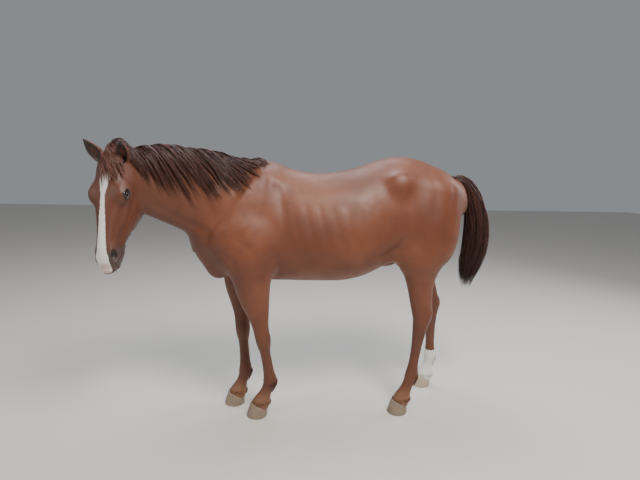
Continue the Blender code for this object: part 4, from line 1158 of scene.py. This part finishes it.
# ---------------------------------------------------------------- short tufts
# Where the short coat breaks the outline: behind the fetlocks, over the coronets and under the jaw. They wear
# the coat's own colours and marks.
FETLOCK_TUFTS, CORONET_TUFTS, JAW_TUFTS = 110, 150, 260
rng = np.random.default_rng(21)
tuft_rows = []


def tuft_patch(places, ways, pull, length, lift):
    """Adds guide lines rooted on the skin along `ways` from places inside it."""
    roots = places + ways * skin_reach(places, ways, skin_shapes, 0.001)[:, None]
    lines = comb(roots, ways * 0.6 + pull, pull, length, lift, base_shapes, 5)
    tuft_rows.append(lines)


for key, joints in (("fore", FORE_JOINTS), ("hind", HIND_JOINTS)):
    for side in (LEFT, RIGHT):
        fetlock, coronet = np.array(joints[side][3]), np.array(joints[side][4])
        count = FETLOCK_TUFTS
        angle = rng.uniform(-1.0, 1.0, count)
        places = fetlock + np.stack([np.zeros(count), np.zeros(count), rng.uniform(-0.045, 0.020, count)],
                                    axis=1)
        ways = np.stack([np.cos(angle), np.sin(angle), np.zeros(count)], axis=1)
        pull = np.tile((0.18, 0.0, -1.0), (count, 1))
        tuft_patch(places, ways, pull / 1.016, rng.uniform(0.018, 0.036, count),
                   rng.uniform(0.001, 0.004, count))
        count = CORONET_TUFTS
        angle = rng.uniform(0, 2 * np.pi, count)
        places = coronet + np.stack([np.zeros(count), np.zeros(count), rng.uniform(-0.012, 0.004, count)],
                                    axis=1)
        ways = np.stack([np.cos(angle), np.sin(angle), np.zeros(count)], axis=1)
        pull = ways * 0.35 + np.array((0.0, 0.0, -1.0))
        tuft_patch(places, ways, pull / 1.06, rng.uniform(0.010, 0.018, count),
                   rng.uniform(0.001, 0.003, count))
count = JAW_TUFTS
u = rng.uniform(0.10, 0.50, count)
places = np.array([on_head(a, b, -0.120) for a, b in zip(u, rng.uniform(-0.03, 0.03, count))])
ways = np.tile(-HEAD[2], (count, 1))
pull = np.tile(-HEAD[0], (count, 1))
tuft_patch(places, ways, pull, rng.uniform(0.008, 0.016, count), rng.uniform(0.001, 0.003, count))
lines = np.concatenate(tuft_rows)
hairs = spread(lines, 3, np.full(len(lines), 0.0022), 0.5, rng)
patches = np.repeat(rng.uniform(0.02, 0.95, (len(lines), 2)), 3, axis=0)
tufts = hair_object("coat_tufts", hairs, rng.uniform(0.0004, 0.0008, len(hairs)), patches, rng, coat)
mark_skin(tufts, points_of(tufts) + np.array(MIDDLE))

# ---------------------------------------------------------------- eyes
# Dark wet eyes, deep brown with a level pupil, set under the brows.
def eye_material(side):
    n = Nodes("wet eye " + ("left" if side == LEFT else "right"))
    centre = Vector(on_head(EYE_CENTRE[0], -side * EYE_CENTRE[1], EYE_CENTRE[2])) - MIDDLE
    place = n.add("ShaderNodeTexCoord").outputs["Object"]
    local = n.add("ShaderNodeVectorMath", {"operation": "SUBTRACT"}, _0=place, _1=tuple(centre)).outputs[0]
    out = Vector(tuple(-side * HEAD[1] * 0.93 + HEAD[2] * 0.30 + HEAD[0] * 0.05)).normalized()
    facing = n.add("ShaderNodeVectorMath", {"operation": "DOT_PRODUCT"}, _0=local,
                   _1=tuple(out)).outputs["Value"]
    iris = n.span(facing, EYE_RADIUS * 0.62, EYE_RADIUS * 0.72)
    pupil = n.span(facing, EYE_RADIUS * 0.90, EYE_RADIUS * 0.93)
    streak = n.noise(local, 420.0, 3.0)
    colour = n.mix(iris, (0.030, 0.017, 0.012), n.mix(streak, (0.050, 0.022, 0.010), (0.016, 0.008, 0.005)))
    colour = n.mix(pupil, colour, (0.003, 0.003, 0.005))
    n.tree.links.new(colour, n.shader.inputs["Base Color"])
    n.tree.links.new(n.span(streak, 0.0, 1.0, 0.05, 0.09), n.shader.inputs["Roughness"])
    n.shader.inputs["Coat Weight"].default_value = 0.35
    n.shader.inputs["Coat Roughness"].default_value = 0.02
    return n.material


for side, name in ((LEFT, "eye_left"), (RIGHT, "eye_right")):
    radius, centre = EYE_RADIUS - 0.0004, Vector(on_head(EYE_CENTRE[0], -side * EYE_CENTRE[1],
                                                         EYE_CENTRE[2])) - MIDDLE
    bm = bmesh.new()
    bmesh.ops.create_uvsphere(bm, u_segments=48, v_segments=32, radius=radius,
                              matrix=Matrix.Translation(centre))
    mesh = bpy.data.meshes.new(name + "_ball")
    bm.to_mesh(mesh)
    bm.free()
    mesh.materials.append(eye_material(side))
    mesh.shade_smooth()
    ball = linked(name + "_ball", mesh)
    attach(ball, "root")
    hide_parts(name)

# ---------------------------------------------------------------- hooves
# Pale dusty horn walls, ringed by growth, worn smooth at the ground. The solids' own walls carry the finish.
def horn_material(name, dark, light):
    n = Nodes(name)
    place = n.add("ShaderNodeTexCoord").outputs["Object"]
    height = n.add("ShaderNodeSeparateXYZ", {}, _0=place).outputs[2]
    wander = n.math("MULTIPLY", n.noise(place, 9.0), 0.030)
    rings = n.math("SINE", n.math("MULTIPLY", n.math("ADD", height, wander), 900.0))
    grain_place = n.add("ShaderNodeMapping", {}, Vector=place)
    grain_place.inputs["Scale"].default_value = (240.0, 240.0, 14.0)
    grain = n.noise(grain_place.outputs[0], 1.0, 3.0)
    colour = n.mix(grain, dark, light)
    colour = n.mix(n.span(n.noise(place, 26.0, 4.0), 0.45, 0.75, 0.0, 0.6), colour, (0.34, 0.26, 0.19))
    colour = n.mix(n.span(rings, 0.2, 1.0, 0.0, 0.22), colour, dark)
    n.tree.links.new(colour, n.shader.inputs["Base Color"])
    n.tree.links.new(n.span(grain, 0.2, 0.8, 0.50, 0.70), n.shader.inputs["Roughness"])
    relief = n.math("ADD", n.math("MULTIPLY", rings, 0.45), grain)
    bump = n.add("ShaderNodeBump", {}, Strength=0.45, Distance=0.0012, Height=relief)
    n.tree.links.new(bump.outputs[0], n.shader.inputs["Normal"])
    return n.material


horn = horn_material("dusty horn", (0.150, 0.105, 0.075), (0.330, 0.250, 0.180))
pale_horn = horn_material("pale horn", (0.360, 0.270, 0.190), (0.560, 0.460, 0.350))
for name in ("hoof_fore_left", "hoof_fore_right", "hoof_hind_left", "hoof_hind_right"):
    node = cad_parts[name]
    wall = node.data.copy()
    bm = bmesh.new()
    bm.from_mesh(wall)
    bmesh.ops.remove_doubles(bm, verts=bm.verts, dist=0.00005)
    crown = [e for e in bm.edges if len(e.link_faces) == 2 and e.calc_face_angle(0.0) > 0.5]
    bmesh.ops.bevel(bm, geom=crown, offset=0.0025, offset_type="OFFSET", affect="EDGES", segments=3,
                    profile=0.5,
                    material=-1, clamp_overlap=True)
    bmesh.ops.recalc_face_normals(bm, faces=bm.faces)
    bm.to_mesh(wall)
    bm.free()
    wall.materials.clear()
    wall.materials.append(pale_horn if name == "hoof_hind_right" else horn)
    wall.shade_smooth()
    piece = linked(name + "_wall", wall)
    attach(piece, "root")
    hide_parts(name)
